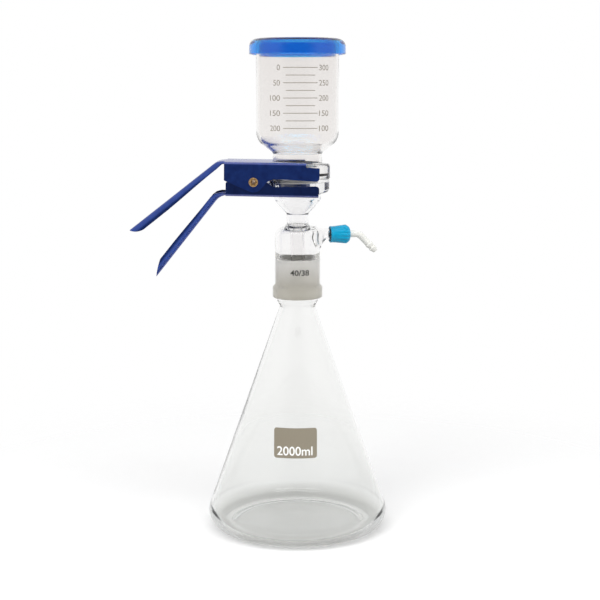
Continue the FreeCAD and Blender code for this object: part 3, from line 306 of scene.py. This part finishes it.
frost(flask, lambda r, z: (r > 17.9) & (z > joint_foot) & (z < neck_end - 0.6))
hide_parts("flask_foot", "flask_lower_side", "flask_upper_side", "flask_neck")
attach(flask, "stand")


# ---------------------------------------------------------------- receiver head
# One fused piece of glass: ground flange, bowl, stem with its drip tube, body
# and ground socket.  The side arm is drawn out of the body's wall.

face_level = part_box("head_bowl")[1].z / MM
socket_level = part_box("receiver_head")[0].z / MM
arm_level = socket_level + 61
shoulder = socket_level + 66.2
stem_foot = shoulder + 5.3
bowl_foot = stem_foot + 10.5
bowl_side = bowl_foot + 13
underside = bowl_side + 7.3
joint_large, joint_small = 20, 18.1
drip_bore, drip_radius, drip_end = 5.2, 6.95, socket_level + 13
body_radius, body_bore = 21.9, 19.6
bowl_radius, bowl_bore = 22.7, 18.6
disc_seat, disc_depth = 20.05, 4
head_flange = 30.9
head = turned("head_glass", outline([
    (disc_seat, face_level, 0.3),
    (disc_seat, face_level - disc_depth, 0.2),
    (bowl_bore, face_level - disc_depth, 0.5),
    (bowl_bore, bowl_side + 2.3, 4),
    (8, bowl_foot + 2.3, 4),
    (8, stem_foot - 0.5, 4),
    (drip_bore, stem_foot - 7, 5),
    (drip_bore, drip_end, 0.6),
    (drip_radius, drip_end, 0.6),
    (drip_radius, stem_foot - 8, 4),
    (9.4, stem_foot - 3.15, 1.2),
    (body_bore, shoulder - 1.38, 5.7),
    (body_bore, socket_level + 44, 5),
    (joint_small, socket_level + joint_length, 3),
    (joint_large, socket_level, 0.4),
    (24.4, socket_level, 1.6),
    (24.4, socket_level + 10.6, 1.6),
    (body_radius, socket_level + 13.4, 2.5),
    (body_radius, shoulder, 8),
    (10.5, stem_foot, 2.6),
    (10.5, bowl_foot, 3.6),
    (bowl_radius, bowl_side, 8),
    (bowl_radius, underside, 1.2),
    (head_flange, underside, 5),
    (head_flange, face_level, 0.6),
]), 200)

arm_turn = np.radians(12)
along = np.array([np.cos(arm_turn), np.sin(arm_turn), 0])
across = np.array([-along[1], along[0], 0])
upward = np.array([0, 0, 1.0])


def about_arm(name, section, around=96, sharp=32, drop=0, dent=0):
    """A section (r, s) in metres turned about the side arm's axis, s out from Z.

    drop lowers each ring's middle, and dent is taken off the radius at each angle.
    """
    angle = np.linspace(0, 2 * np.pi, around, endpoint=False)[None, :, None]
    radius, reach = section[:, 0][:, None, None], section[:, 1][:, None, None]
    middle = np.broadcast_to(np.asarray(drop, float), len(section))[:, None, None]
    points = (reach * along - middle * upward + np.array([0, 0, arm_level * MM])
              + (radius - dent) * (np.cos(angle) * across + np.sin(angle) * upward))
    return smooth_mesh(name, points, grid_faces(len(section), around, True), sharp)


def final_mesh(thing):
    """The mesh of an object once its modifiers, or its type's shape, are worked out."""
    return bpy.data.meshes.new_from_object(
        thing.evaluated_get(bpy.context.evaluated_depsgraph_get()))


def combine(thing, tool, how):
    """Adds or takes away a solid, and deletes the tool."""
    step = thing.modifiers.new(how, "BOOLEAN")
    step.operation = how
    step.object = tool
    step.solver = "EXACT"
    bpy.context.view_layer.update()
    done = final_mesh(thing)
    thing.modifiers.clear()
    thing.data = done
    bpy.data.objects.remove(tool)


# The arm is drawn out of the wall.  Its upper line is straight and slopes by a
# quarter, its lower one is a power curve of the distance to where it is plain.
arm_radius, arm_wall = 5.9, 1.9
plain_from = 29
outwards = np.linspace(11, plain_from, 32)
upper_line = arm_radius + 0.25 * np.clip(27.5 - outwards, 0, None)
lower_line = arm_radius + 8.2 * np.clip((plain_from - outwards) / 7.1, 0, 1) ** 2.3
flare = (upper_line + lower_line) / 2
sag = (lower_line - upper_line) / 2
arm_tube = outline([(6.95, 34.5), (6.95, 45.2, 0.6), (0, 45.2)]) / MM
arm_section = np.concatenate([
    [[0, outwards[0]]], np.stack([flare, outwards], 1), [[arm_radius, 33.5]],
    arm_tube]) * MM
arm_drop = np.concatenate([sag[:1], sag, np.zeros(1 + len(arm_tube))]) * MM
arm = about_arm("arm", arm_section, drop=arm_drop)
core_top = stem_foot - 1.1
combine(arm, turned("core", outline([
    (0, socket_level), (20.7, socket_level), (20.7, shoulder - 0.7, 6.8),
    (9.3, core_top), (0, core_top)]), 144), "DIFFERENCE")
combine(head, arm, "UNION")
bored = outwards > 16
bore_section = np.concatenate([
    [[0, 16.2]], np.stack([flare - arm_wall, outwards], 1)[bored],
    [[3.5, 50], [0, 50]]]) * MM
bore_drop = np.concatenate([[sag[bored][0]], sag[bored], [0, 0]]) * MM
combine(head, about_arm("bore", bore_section, drop=bore_drop), "DIFFERENCE")
head.data.shade_smooth()
head.data.set_sharp_from_angle(angle=np.radians(32))
head.data.materials.clear()
head.data.materials.append(clear_glass(
    "head_glass", (socket_level, (0.975, 0.97, 0.965)), (face_level, (0.97, 0.965, 0.97))))
head.data.materials.append(ground)
frost(head, lambda r, z: (r < 20.3) & (r > 17.9) & (z > socket_level + 0.5)
      & (z < socket_level + joint_length - 0.1) | (r > 20.5) & (z > face_level - 0.05))
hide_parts("receiver_head", "drip_tube", "head_bowl")
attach(head, "stand")


# ---------------------------------------------------------------- sintered disc
# Glass grains fused into a porous white disc, let into the head's flange.  In
# use it holds up a thin filter.

def fritted():
    """White, matt and full of pores."""
    material, body, node = shader("sintered_glass", {"Roughness": 0.9})
    pores = grain(node, 1400, 4)
    tone = tones(node, pores, (0, (0.62, 0.61, 0.59)), (1, (0.88, 0.87, 0.85)))
    link(material, tone, body.inputs["Base Color"])
    bump(material, body, node, pores, 0.4, 0.0003)
    return material


disc_radius = 20
disc = turned("sintered_disc", outline([
    (0, face_level - disc_depth), (disc_radius, face_level - disc_depth, 0.2),
    (disc_radius, face_level, 0.2), (0, face_level)]), 128)
disc.data.materials.append(fritted())
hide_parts("frit_disc")
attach(disc, "stand")


# ----------------------------------------------------------------------- funnel
# A graduated glass cylinder drawn in to a neck, with a thick ground flange that
# the clamp presses on the head's flange.

rim_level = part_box("funnel")[1].z / MM
funnel_floor = face_level + 24.4
flange_top = face_level + 14
funnel_radius, funnel_bore = 39.7, 37.3
throat_radius, throat_bore = 23.8, 21.2
mouth_radius = 20
funnel = turned("funnel_glass", outline([
    (mouth_radius, face_level, 0.4),
    (31.5, face_level, 0.6),
    (31.5, flange_top, 3),
    (throat_radius, flange_top, 1.2),
    (throat_radius, funnel_floor, 2.4),
    (funnel_radius, funnel_floor + 11.6, 16),
    (funnel_radius, rim_level, 1.15),
    (funnel_bore, rim_level, 1.15),
    (funnel_bore, funnel_floor + 13.76, 13.6),
    (throat_bore, funnel_floor + 2.16, 1.2),
    (throat_bore, face_level + 4.8, 1.5),
    (mouth_radius, face_level + 2.4, 1),
]), 288)
funnel.data.materials.append(clear_glass(
    "funnel_glass", (funnel_floor, (0.925, 0.91, 0.90)),
    (rim_level, (0.895, 0.875, 0.862))))
funnel.data.materials.append(ground)
frost(funnel, lambda r, z: (r > 20.5) & (z < face_level + 0.05))
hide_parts("funnel")
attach(funnel, "stand")


# -------------------------------------------------------------------------- lid
# Moulded in blue plastic: a slightly domed top, a skirt outside the funnel's
# rim and a plug inside it.

def moulded_blue():
    """Clear blue plastic: cyan where it is thin, and deep blue where it is thick."""
    material, body, node = shader("blue_plastic", {
        "Roughness": 0.03, "IOR": 1.49, "Transmission Weight": 1.0,
        "Specular IOR Level": 0.3})
    flow = grain(node, 60, 3)
    tone = tones(node, flow, (0, (0.22, 0.80, 0.98)), (1, (0.34, 0.88, 1.0)))
    link(material, tone, body.inputs["Base Color"])
    bump(material, body, node, flow, 0.12, 0.0006)
    absorb(material, node, (0.0, 0.72, 0.955), 460)
    return material


lid_radius, skirt_bore, skirt_foot = 46.1, 43.1, rim_level - 12.2
plug_radius, plug_bore, plug_foot = 36.9, 34.3, rim_level - 14.6
lid = turned("lid_shell", outline([
    (0, rim_level),
    (plug_bore, rim_level, 1),
    (plug_bore, plug_foot, 0.9),
    (plug_radius, plug_foot, 0.9),
    (plug_radius, rim_level, 0.5),
    (skirt_bore, rim_level, 1.5),
    (skirt_bore, skirt_foot, 1),
    (lid_radius, skirt_foot, 1),
    (lid_radius, rim_level + 2.6, 7.5),
    (0, rim_level + 3.6),
]), 256)
lid.data.materials.append(moulded_blue())
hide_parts("lid")
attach(lid, "stand")


# ------------------------------------------------------------ prints on the glass
# Enamel, screen printed on the glass and fired: the funnel's volume scale, the
# joint's size on its socket, and the flask's volume on a taupe patch.

film_half = 0.02 * MM
strip_width = 2.5


def figures(text, left, right, low, high, weight=0.0):
    """Type that fills the box from (left, low) to (right, high), in mm, as a thin film.

    Its strokes grow by the weight, as a share of the type's size.  Each coordinate
    is moved and stretched by its own line, so that the type's lowest and highest
    values land on the box's sides.
    """
    letters = bpy.data.curves.new("figures", "FONT")
    letters.body = text
    letters.extrude = film_half
    letters.offset = weight
    shape = in_scene("figures", letters)
    bpy.context.view_layer.update()
    film = final_mesh(shape)
    bpy.data.objects.remove(shape)
    points = np.zeros(len(film.vertices) * 3)
    film.vertices.foreach_get("co", points)
    points = points.reshape(-1, 3)
    lowest, highest = points.min(0)[:2], points.max(0)[:2]
    corner, far = np.array([left, low]) * MM, np.array([right, high]) * MM
    points[:, :2] = corner + (points[:, :2] - lowest) / (highest - lowest) * (far - corner)
    film.vertices.foreach_set("co", points.ravel())
    return film


def bars(boxes):
    """Thin films over boxes (left, right, low, high), in mm: eight corners each."""
    boxes = np.asarray(boxes, float) * MM
    flat = boxes[:, np.array([[0, 2], [1, 2], [1, 3], [0, 3]])]
    sheet = np.full((len(boxes), 4, 1), film_half)
    points = np.concatenate([np.concatenate([flat, -sheet], 2),
                             np.concatenate([flat, sheet], 2)], 1)
    sides = np.array([[3, 2, 1, 0], [4, 5, 6, 7], [0, 1, 5, 4], [1, 2, 6, 5],
                      [2, 3, 7, 6], [3, 0, 4, 7]])
    faces = np.arange(len(boxes))[:, None, None] * 8 + sides
    film = bpy.data.meshes.new("bars")
    film.from_pydata(points.reshape(-1, 3).tolist(), [], faces.reshape(-1, 4).tolist())
    return film


def patch(corners):
    """A thin film over a flat outline of (x, z, round) corners."""
    rim = outline(corners)
    count = len(rim)
    points = np.concatenate([np.c_[rim, np.full(count, -film_half)],
                             np.c_[rim, np.full(count, film_half)]])
    edge = np.arange(count)
    after = (edge + 1) % count
    sides = np.stack([edge, after, after + count, edge + count], 1).tolist()
    film = bpy.data.meshes.new("patch")
    film.from_pydata(points.tolist(), [],
                     sides + [edge[::-1].tolist(), (edge + count).tolist()])
    return film


def on_tube(radius):
    """Wraps x round a cylinder: x is the arc, so the angle from the front is x / radius."""
    def wrap(across, up, lift):
        """Puts (x, z, lift) at radius + lift."""
        angle = across / radius
        return np.stack([(radius + lift) * np.sin(angle), -(radius + lift) * np.cos(angle),
                         up], 1)
    return wrap


def on_cone(across, up, lift):
    """Presses x straight back on the flask's side.

    y is minus the root of the side's radius at z squared, less x squared.
    """
    radius = foot_corner * MM - slope * up + lift
    return np.stack([across, -np.sqrt(radius ** 2 - across ** 2), up], 1)


def fired_print(name, films, wrap, lift, colour):
    """Joins flat films, cuts them into strips so that they can bend, and wraps them."""
    work = bmesh.new()
    for film in films:
        work.from_mesh(film)
    for cut in np.arange(-40, 41, strip_width) * MM:
        bmesh.ops.bisect_plane(work, geom=work.verts[:] + work.edges[:] + work.faces[:],
                               plane_co=(cut, 0, 0), plane_no=(1, 0, 0))
    bmesh.ops.triangulate(work, faces=work.faces)
    mesh = bpy.data.meshes.new(name)
    work.to_mesh(mesh)
    work.free()
    points = np.zeros(len(mesh.vertices) * 3)
    mesh.vertices.foreach_get("co", points)
    points = points.reshape(-1, 3)
    placed = wrap(points[:, 0], points[:, 1], points[:, 2] + lift * MM)
    mesh.vertices.foreach_set("co", placed.ravel())
    thing = in_scene(name, mesh)
    material, body, node = shader(name, {"Roughness": 0.6})
    colour = np.array(colour)
    tone = tones(node, grain(node, 1500, 3), (0, colour * 0.85),
                 (1, np.minimum(colour * 1.12, 1)))
    link(material, tone, body.inputs["Base Color"])
    mesh.materials.append(material)
    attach(thing, "stand")
    return thing


first_mark, mark_gap = rim_level - 24.87, 7.0125
marks = first_mark - mark_gap * np.arange(9)
long_mark, short_mark = (-13.56, 19.5), (-10.94, 17.0)
left_type_end, right_type = -16.7, (21.2, 32.3)
digit_width, digit_step = 3.3, 3.9
mark_half, figure_half = 0.33, 2.6
scale = [bars([(*long_mark, z - mark_half, z + mark_half) for z in marks[::2]]
              + [(*short_mark, z - mark_half, z + mark_half) for z in marks[1::2]])]
for z, left_text, right_text in zip(marks[::2], ("0", "50", "100", "150", "200"),
                                    ("300", "250", "200", "150", "100")):
    low, high = z - figure_half, z + figure_half
    width = digit_width + digit_step * (len(left_text) - 1)
    scale.append(figures(left_text, left_type_end - width, left_type_end, low, high))
    scale.append(figures(right_text, *right_type, low, high))
fired_print("funnel_scale", scale, on_tube(funnel_radius * MM), 0.05, (0.26, 0.23, 0.185))
fired_print("joint_size", [figures("40/38", -7.0, 11.6, socket_level + 23.8,
                                   socket_level + 29.2, 0.015)],
            on_tube(body_radius * MM), 0.05, (0.05, 0.047, 0.04))
patch_left, patch_right, patch_low, patch_high, patch_round = -22.3, 18.6, 84.9, 111.9, 2.5
fired_print("flask_patch", [patch([
    (patch_left, patch_low, patch_round), (patch_right, patch_low, patch_round),
    (patch_right, patch_high, patch_round), (patch_left, patch_high, patch_round)])],
    on_cone, 0.04, (0.255, 0.225, 0.17))
fired_print("flask_volume", [figures("2000ml", -19.4, 14.4, 87.3, 95.4, 0.012)],
            on_cone, 0.1, (0.9, 0.9, 0.88))


# ----------------------------------------------------------------- clamp levers
# Two stampings of blue anodised aluminium: a forked web, two walls with the
# pivot's ears, and a channel-shaped handle.

jaws_end, handle_start = -66 * MM, -78 * MM


def anodised(name, depth):
    """Satin metal under a blue anodised skin, faintly mottled, with a painted pale
    highlight on its folds near the jaws.

    Its colour is scaled by the depth near the jaws and by 0.85 along the handle: a depth
    below 1 is painted shade on the jaws.
    """
    material, body, node = shader(name, {
        "Metallic": 0.95, "Specular IOR Level": 0.3, "Specular Tint": (0.5, 0.5, 0.75, 1),
        "Coat Weight": 0.65, "Coat Roughness": 0.1})
    cloud = grain(node, 160, 5, 0.6)
    tone = tones(node, cloud, (0.3, (0.011, 0.046, 0.28)), (0.75, (0.022, 0.078, 0.40)))
    place = node("TexCoord").outputs["Object"]
    level = node("SeparateXYZ", {"Vector": place}).outputs["X"]
    jaws = between(node, level, handle_start, jaws_end, way="SMOOTHSTEP")
    # painted shade: the colour near the jaws is scaled by the depth, darker on the lower
    # lever whose jaws lie behind the upper one's wall
    dye_and_painted_shade = node("VectorMath", {0: tone, "Scale": between(node, jaws, 0, 1, 0.85, depth)},
                operation="SCALE").outputs[0]
    fold = node("Attribute", attribute_name="fold").outputs["Fac"]
    # painted highlight: the folds near the jaws are mixed towards pale lavender, for the
    # white surround they mirror
    painted_fold_highlight = sums(node, "MULTIPLY", sums(node, "MULTIPLY", fold, jaws), 0.35)
    skin = node("MixRGB", {"Fac": painted_fold_highlight, "Color1": dye_and_painted_shade, "Color2": (0.30, 0.29, 0.48, 1)})
    link(material, skin.outputs["Color"], body.inputs["Base Color"])
    link(material, between(node, cloud, 0, 1, 0.3, 0.4), body.inputs["Roughness"])
    bump(material, body, node, cloud, 0.025, 0.0003)
    return material


def pressed_copy(name, node, bevel):
    """The lever's own shape with its triangles joined and its edges broken.

    Each face's "fold" is 4 y^2 (1 - y^2), y being its normal's share along Y: it
    is 1 halfway round a bend between a wall and a web, and 0 on both of them.
    """
    mesh = bpy.data.meshes.new(name)
    work = bmesh.new()
    work.from_mesh(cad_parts[node].data)
    bmesh.ops.remove_doubles(work, verts=work.verts, dist=2e-6)
    bmesh.ops.dissolve_limit(work, angle_limit=np.radians(0.05), verts=work.verts,
                             edges=work.edges)
    work.to_mesh(mesh)
    work.free()
    facing = np.zeros(len(mesh.polygons) * 3)
    mesh.polygons.foreach_get("normal", facing)
    sideways = facing.reshape(-1, 3)[:, 1] ** 2
    fold = mesh.attributes.new("fold", "FLOAT", "FACE")
    fold.data.foreach_set("value", 4 * sideways * (1 - sideways))
    mesh.shade_smooth()
    mesh.set_sharp_from_angle(angle=np.radians(35))
    thing = in_scene(name, mesh)
    edge = thing.modifiers.new("edge", "BEVEL")
    edge.width = bevel * MM
    edge.segments = 2
    edge.limit_method = "ANGLE"
    edge.angle_limit = np.radians(50)
    edge.harden_normals = True
    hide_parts(node)
    return thing


for name, node_name, body_name, finish in (
        ("upper_clamp_lever", "upper_lever", "upper_clamp", anodised("blue_skin", 1)),
        # the lower lever's jaws get painted shade, as they lie behind the upper lever's
        # wall
        ("lower_clamp_lever", "lower_lever", "lower_clamp",
         anodised("blue_skin_painted_jaw_shade", 0.55))):
    lever = pressed_copy(name, node_name, bevel=0.25)
    lever.data.materials.append(finish)
    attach(lever, body_name)


# ------------------------------------------------------------------- pivot tube
# A hollow brass rivet through the levers' ears.  Its ends are rolled over
# outwards, so each shows a round split lip and a dark hole.

def brass():
    """Bare brass with fine turning marks."""
    material, body, node = shader("brass", {"Metallic": 1.0, "Roughness": 0.28})
    tone = tones(node, grain(node, 900), (0, (0.30, 0.17, 0.07)), (1, (0.78, 0.52, 0.24)))
    link(material, tone, body.inputs["Base Color"])
    return material


tube_low, tube_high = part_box("pivot_tube")
tube_x = (tube_low.x + tube_high.x) / 2 / MM
tube_z = (tube_low.z + tube_high.z) / 2 / MM
tube_end = tube_high.y / MM
tube_radius, tube_bore = 3, 2.0
lip_radius, lip_width, split_depth = 2.75, 0.9, 0.9


def rivet(name, section, petals, around=96):
    """A section (r, y) turned about the pivot's axis, its inner lips split in petals.

    A split sinks the lip by a depth times the square of a cosine's upper half,
    faded out on either side of the lip's own radius.
    """
    angle = np.linspace(0, 2 * np.pi, around, endpoint=False)[None, :]
    radius, level = section[:, :1], section[:, 1:]
    split = np.clip(np.cos(petals * angle), 0, 1) ** 2
    inner_lip = np.clip(1 - np.abs(radius / MM - lip_radius) / lip_width, 0, 1)
    level = level - np.sign(level) * split_depth * MM * split * inner_lip
    points = np.stack([tube_x * MM + radius * np.cos(angle), level + 0 * angle,
                       tube_z * MM + radius * np.sin(angle)], 2)
    return smooth_mesh(name, points[:, ::-1], grid_faces(len(section), around, True), 40)


half_tube = outline([
    (tube_radius, 0), (tube_radius, tube_end - 1.1, 0.2), (4.35, tube_end - 1.1, 0.25),
    (4.35, tube_end - 0.35, 0.3), (3.7, tube_end, 0.5), (3.2, tube_end - 0.4, 0.3),
    (lip_radius, tube_end - 0.1, 0.3), (tube_bore, tube_end - 0.9, 0.5), (tube_bore, 0)])
other_half = (half_tube * (1, -1))[::-1]
tube = rivet("pivot_rivet", np.concatenate([half_tube[1:-1], other_half[1:-1]]), 6)
tube.data.materials.append(brass())
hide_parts("pivot_tube")
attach(tube, "stand")


# --------------------------------------------------------------- torsion spring
# Bright spring wire, wound six turns round the tube.  Its two straight legs push
# the levers' webs apart, and each moves with its lever.

wire_radius, wire_sides = 0.9, 20
coil_radius, coil_pitch, whole_turns, coil_step = 5.6, 2.1, 6, 0.1


def steel():
    """Bright spring wire."""
    material, body, node = shader("spring_steel", {
        "Base Color": (0.5, 0.5, 0.51, 1), "Metallic": 1.0})
    wear = between(node, grain(node, 700), 0, 1, 0.2, 0.4)
    link(material, wear, body.inputs["Roughness"])
    return material


def wire_tube(name, path):
    """A round wire along a path: rings about its points, and a pole at either end.

    Each ring stands square to the path.  Its first axis is Y without its share
    along the path, and its second is square to both.
    """
    ahead = np.gradient(path, axis=0)
    ahead = ahead / np.linalg.norm(ahead, axis=1, keepdims=True)
    beside = np.array([0, 1, 0]) - ahead[:, 1:2] * ahead
    beside = beside / np.linalg.norm(beside, axis=1, keepdims=True)
    above = np.cross(ahead, beside)
    rings = np.arange(-1, len(path) + 1).clip(0, len(path) - 1)
    thick = np.full((len(rings), 1, 1), wire_radius)
    thick[[0, -1]] = 0
    angle = np.linspace(0, 2 * np.pi, wire_sides, endpoint=False)[None, :, None]
    points = path[rings, None] + thick * (np.cos(angle) * beside[rings, None]
                                          + np.sin(angle) * above[rings, None])
    thing = smooth_mesh(name, points * MM, grid_faces(len(rings), wire_sides))
    thing.data.materials.append(bright_steel)
    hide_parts("torsion_spring")
    return thing


def tangent_point(tip, sense):
    """The angle on the coil at which a leg from the tip touches it.

    It is the tip's own angle, less the sense times the angle whose cosine is the
    coil's radius over the tip's distance.
    """
    return np.arctan2(tip[1], tip[0]) - sense * np.arccos(coil_radius / np.hypot(*tip))


upper_tip, lower_tip = (-22.713, 16.375), (-22.230, -10.873)
coil_first = tangent_point(lower_tip, -1)
coil_last = (coil_first + (tangent_point(upper_tip, 1) - coil_first) % (2 * np.pi)
             + whole_turns * 2 * np.pi)
coil_half = coil_pitch * (coil_last - coil_first) / (4 * np.pi)


def coil_run(first, last):
    """The coil's middle line: the angle turns in XZ, and Y falls by the pitch a turn."""
    angle = np.linspace(first, last, 2 + int((last - first) / coil_step))
    return np.stack([tube_x + coil_radius * np.cos(angle),
                     coil_half - coil_pitch * (angle - coil_first) / (2 * np.pi),
                     tube_z + coil_radius * np.sin(angle)], 1)


def leg_end(tip, level):
    """A leg's tip, beside the pivot."""
    return np.array([[tube_x + tip[0], level, tube_z + tip[1]]])


bright_steel = steel()
# a leg's first bit lies in the coil, so the wire stays whole as the leg turns
leg_overlap, coil_trim = 0.3, 0.14
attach(wire_tube("spring_coil", coil_run(coil_first + coil_trim, coil_last - coil_trim)),
        "stand")
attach(wire_tube("spring_lower_leg", np.concatenate([
    leg_end(lower_tip, coil_half), coil_run(coil_first, coil_first + leg_overlap)])),
    "lower_clamp")
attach(wire_tube("spring_upper_leg", np.concatenate([
    coil_run(coil_last - leg_overlap, coil_last), leg_end(upper_tip, -coil_half)])),
    "upper_clamp")


# ------------------------------------------------------------------- hose parts
# A moulded screw cap with finger flutes holds the white barb's flange on the
# glass arm, against a rubber seal.

def moulded(name, colour, roughness):
    """Plain moulded plastic with a faint skin texture."""
    material, body, node = shader(name, {
        "Base Color": (*colour, 1), "Roughness": roughness, "Specular IOR Level": 0.3})
    bump(material, body, node, grain(node, 900), 0.1, 0.0002)
    return material


cap_face = 51.76
cap_back = cap_face - 19.4
cap_bore, barb_hole, web_back = 7.03, 3.38, cap_face - 2.4
cap_section = outline([
    (cap_bore, cap_back), (8.15, cap_back, 0.45), (7.95, cap_back + 2.6, 6),
    (8.25, cap_back + 6, 8), (9.2, cap_face - 4.6, 6), (9.25, cap_face - 3.2, 1.2),
    (7.3, cap_face - 0.5, 1.2), (6.4, cap_face, 1), (barb_hole, cap_face),
    (barb_hole, web_back), (cap_bore, web_back, 0.3)])
# each flute is a rounded hollow that deepens away from the glass
flutes, deepest = 15, 0.75
cap_share = np.clip((cap_section[:, 1] / MM - cap_back - 4.2) / 7, 0, 1)
outer_skin = np.clip((cap_section[:, 0] / MM - cap_bore) / 0.9, 0, 1)
flute_depth = deepest * MM * cap_share ** 1.5 * outer_skin
turn_angle = np.linspace(0, 2 * np.pi, 16 * flutes, endpoint=False)
hollow = (0.5 + 0.5 * np.cos(flutes * turn_angle)) ** 1.6
cap = about_arm("hose_cap_shell", cap_section, len(turn_angle), 40,
                dent=flute_depth[:, None, None] * hollow[None, :, None])
cap.data.materials.append(moulded("cyan_plastic", (0.0, 0.33, 0.56), 0.3))
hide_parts("hose_cap")
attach(cap, "cap")

for node_name, finish in (
        ("hose_barb", moulded("white_plastic", (0.78, 0.78, 0.74), 0.4)),
        ("hose_seal", moulded("seal_rubber", (0.7, 0.7, 0.68), 0.6))):
    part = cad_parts[node_name]
    part.data.materials.clear()
    part.data.materials.append(finish)


# ----------------------------------------------------------------------- studio
# A pale floor that keeps the shadow, a white surround, soft lamps and a camera
# in front of the printed side.

def seen_directly(node):
    """The ray's node, and 1 where the ray is a camera, glossy or transmission one."""
    ray = node("LightPath")
    mirror = sums(node, "MAXIMUM", ray.outputs["Is Camera Ray"],
                  ray.outputs["Is Glossy Ray"])
    return ray, sums(node, "MAXIMUM", mirror, ray.outputs["Is Transmission Ray"])


floor_half, floor_glow = 9, 0.37
floor_mesh = bpy.data.meshes.new("floor")
floor_mesh.from_pydata([(-floor_half, -floor_half, 0), (floor_half, -floor_half, 0),
                        (floor_half, floor_half, 0), (-floor_half, floor_half, 0)],
                       [], [(0, 1, 2, 3)])
floor = in_scene("floor", floor_mesh)
paper, paper_body, paper_node = shader("paper", {
    "Base Color": (0.62, 0.62, 0.62, 1), "Roughness": 1.0, "Specular IOR Level": 0.0})
glow = paper_node("Emission", {
    "Color": (1, 1, 1, 1),
    "Strength": sums(paper_node, "MULTIPLY", seen_directly(paper_node)[1], floor_glow)})
both = paper_node("AddShader", {0: paper_body.outputs[0], 1: glow.outputs[0]})
# the floor passes into the surround between these distances from the origin
fade_start, fade_end = 0.22, 0.6
distance = paper_node("VectorMath", {0: paper_node("TexCoord").outputs["Object"]},
                      operation="LENGTH")
fade = between(paper_node, distance.outputs["Value"], fade_start, fade_end,
               way="SMOOTHSTEP")
blend = paper_node("MixShader", {0: fade, 1: both.outputs[0],
                                 2: paper_node("BsdfTransparent").outputs[0]})
link(paper, blend.outputs[0], paper.node_tree.nodes["Material Output"].inputs["Surface"])
floor_mesh.materials.append(paper)

world = bpy.data.worlds.new("surround")
bpy.context.scene.world = world
world.use_nodes = True
air = node_adder(world.node_tree)
ray, seen = seen_directly(air)
scattered_light, seen_light = 0.55, 1.0
strength = between(air, seen, 0, 1, scattered_light, seen_light)
# metal and plastic mirror a dim opening in front of the bench, and the white
# surround on every other side; the opening's edges are shares of a ray's way along Y
opening_full, opening_end, opening_light = -0.97, -0.6, 0.2
way = air("SeparateXYZ", {0: air("TexCoord").outputs["Generated"]})
room = between(air, way.outputs["Y"], opening_full, opening_end, opening_light,
               way="SMOOTHSTEP")
only_mirrored = sums(air, "GREATER_THAN", ray.outputs["Is Glossy Ray"],
                     ray.outputs["Is Transmission Ray"])
mirrored = sums(air, "MULTIPLY", only_mirrored, sums(air, "SUBTRACT", 1, room))
background = world.node_tree.nodes["Background"]
background.inputs["Color"].default_value = (1, 1, 1, 1)
world.node_tree.links.new(sums(air, "SUBTRACT", strength, mirrored),
                          background.inputs["Strength"])

aim = Vector((0, 0, 0.26))
for name, place, wide, deep, power in (
        ("key", (-0.9, -1.1, 1.3), 0.9, 0.9, 12),
        ("fill", (1.2, -0.8, 0.7), 0.9, 0.9, 6),
        ("canopy", (0.0, -0.5, 1.35), 1.2, 0.5, 8.5)):
    lamp = bpy.data.lights.new(name, "AREA")
    lamp.shape = "RECTANGLE"
    lamp.size = wide
    lamp.size_y = deep
    lamp.energy = power
    lamp_object = in_scene(name, lamp)
    lamp_object.location = place
    lamp_object.rotation_euler = (aim - Vector(place)).to_track_quat("-Z", "Y").to_euler()
    lamp_object.visible_glossy = False
    lamp_object.visible_transmission = name == "canopy"

camera_dip = np.radians(9.004)
camera = bpy.data.cameras.new("camera")
camera.lens = 78
camera.sensor_width = 36
camera_object = in_scene("camera", camera)
camera_object.location = (0.00243, -1.2611, 0.42674)
camera_object.rotation_euler = (np.pi / 2 - camera_dip, 0, 0)
bpy.context.scene.camera = camera_object

bpy.context.scene.view_settings.view_transform = "Standard"
cycles = bpy.context.scene.cycles
cycles.max_bounces = 32
cycles.diffuse_bounces = 16
cycles.transmission_bounces = 32
cycles.glossy_bounces = 12
cycles.transparent_max_bounces = 16
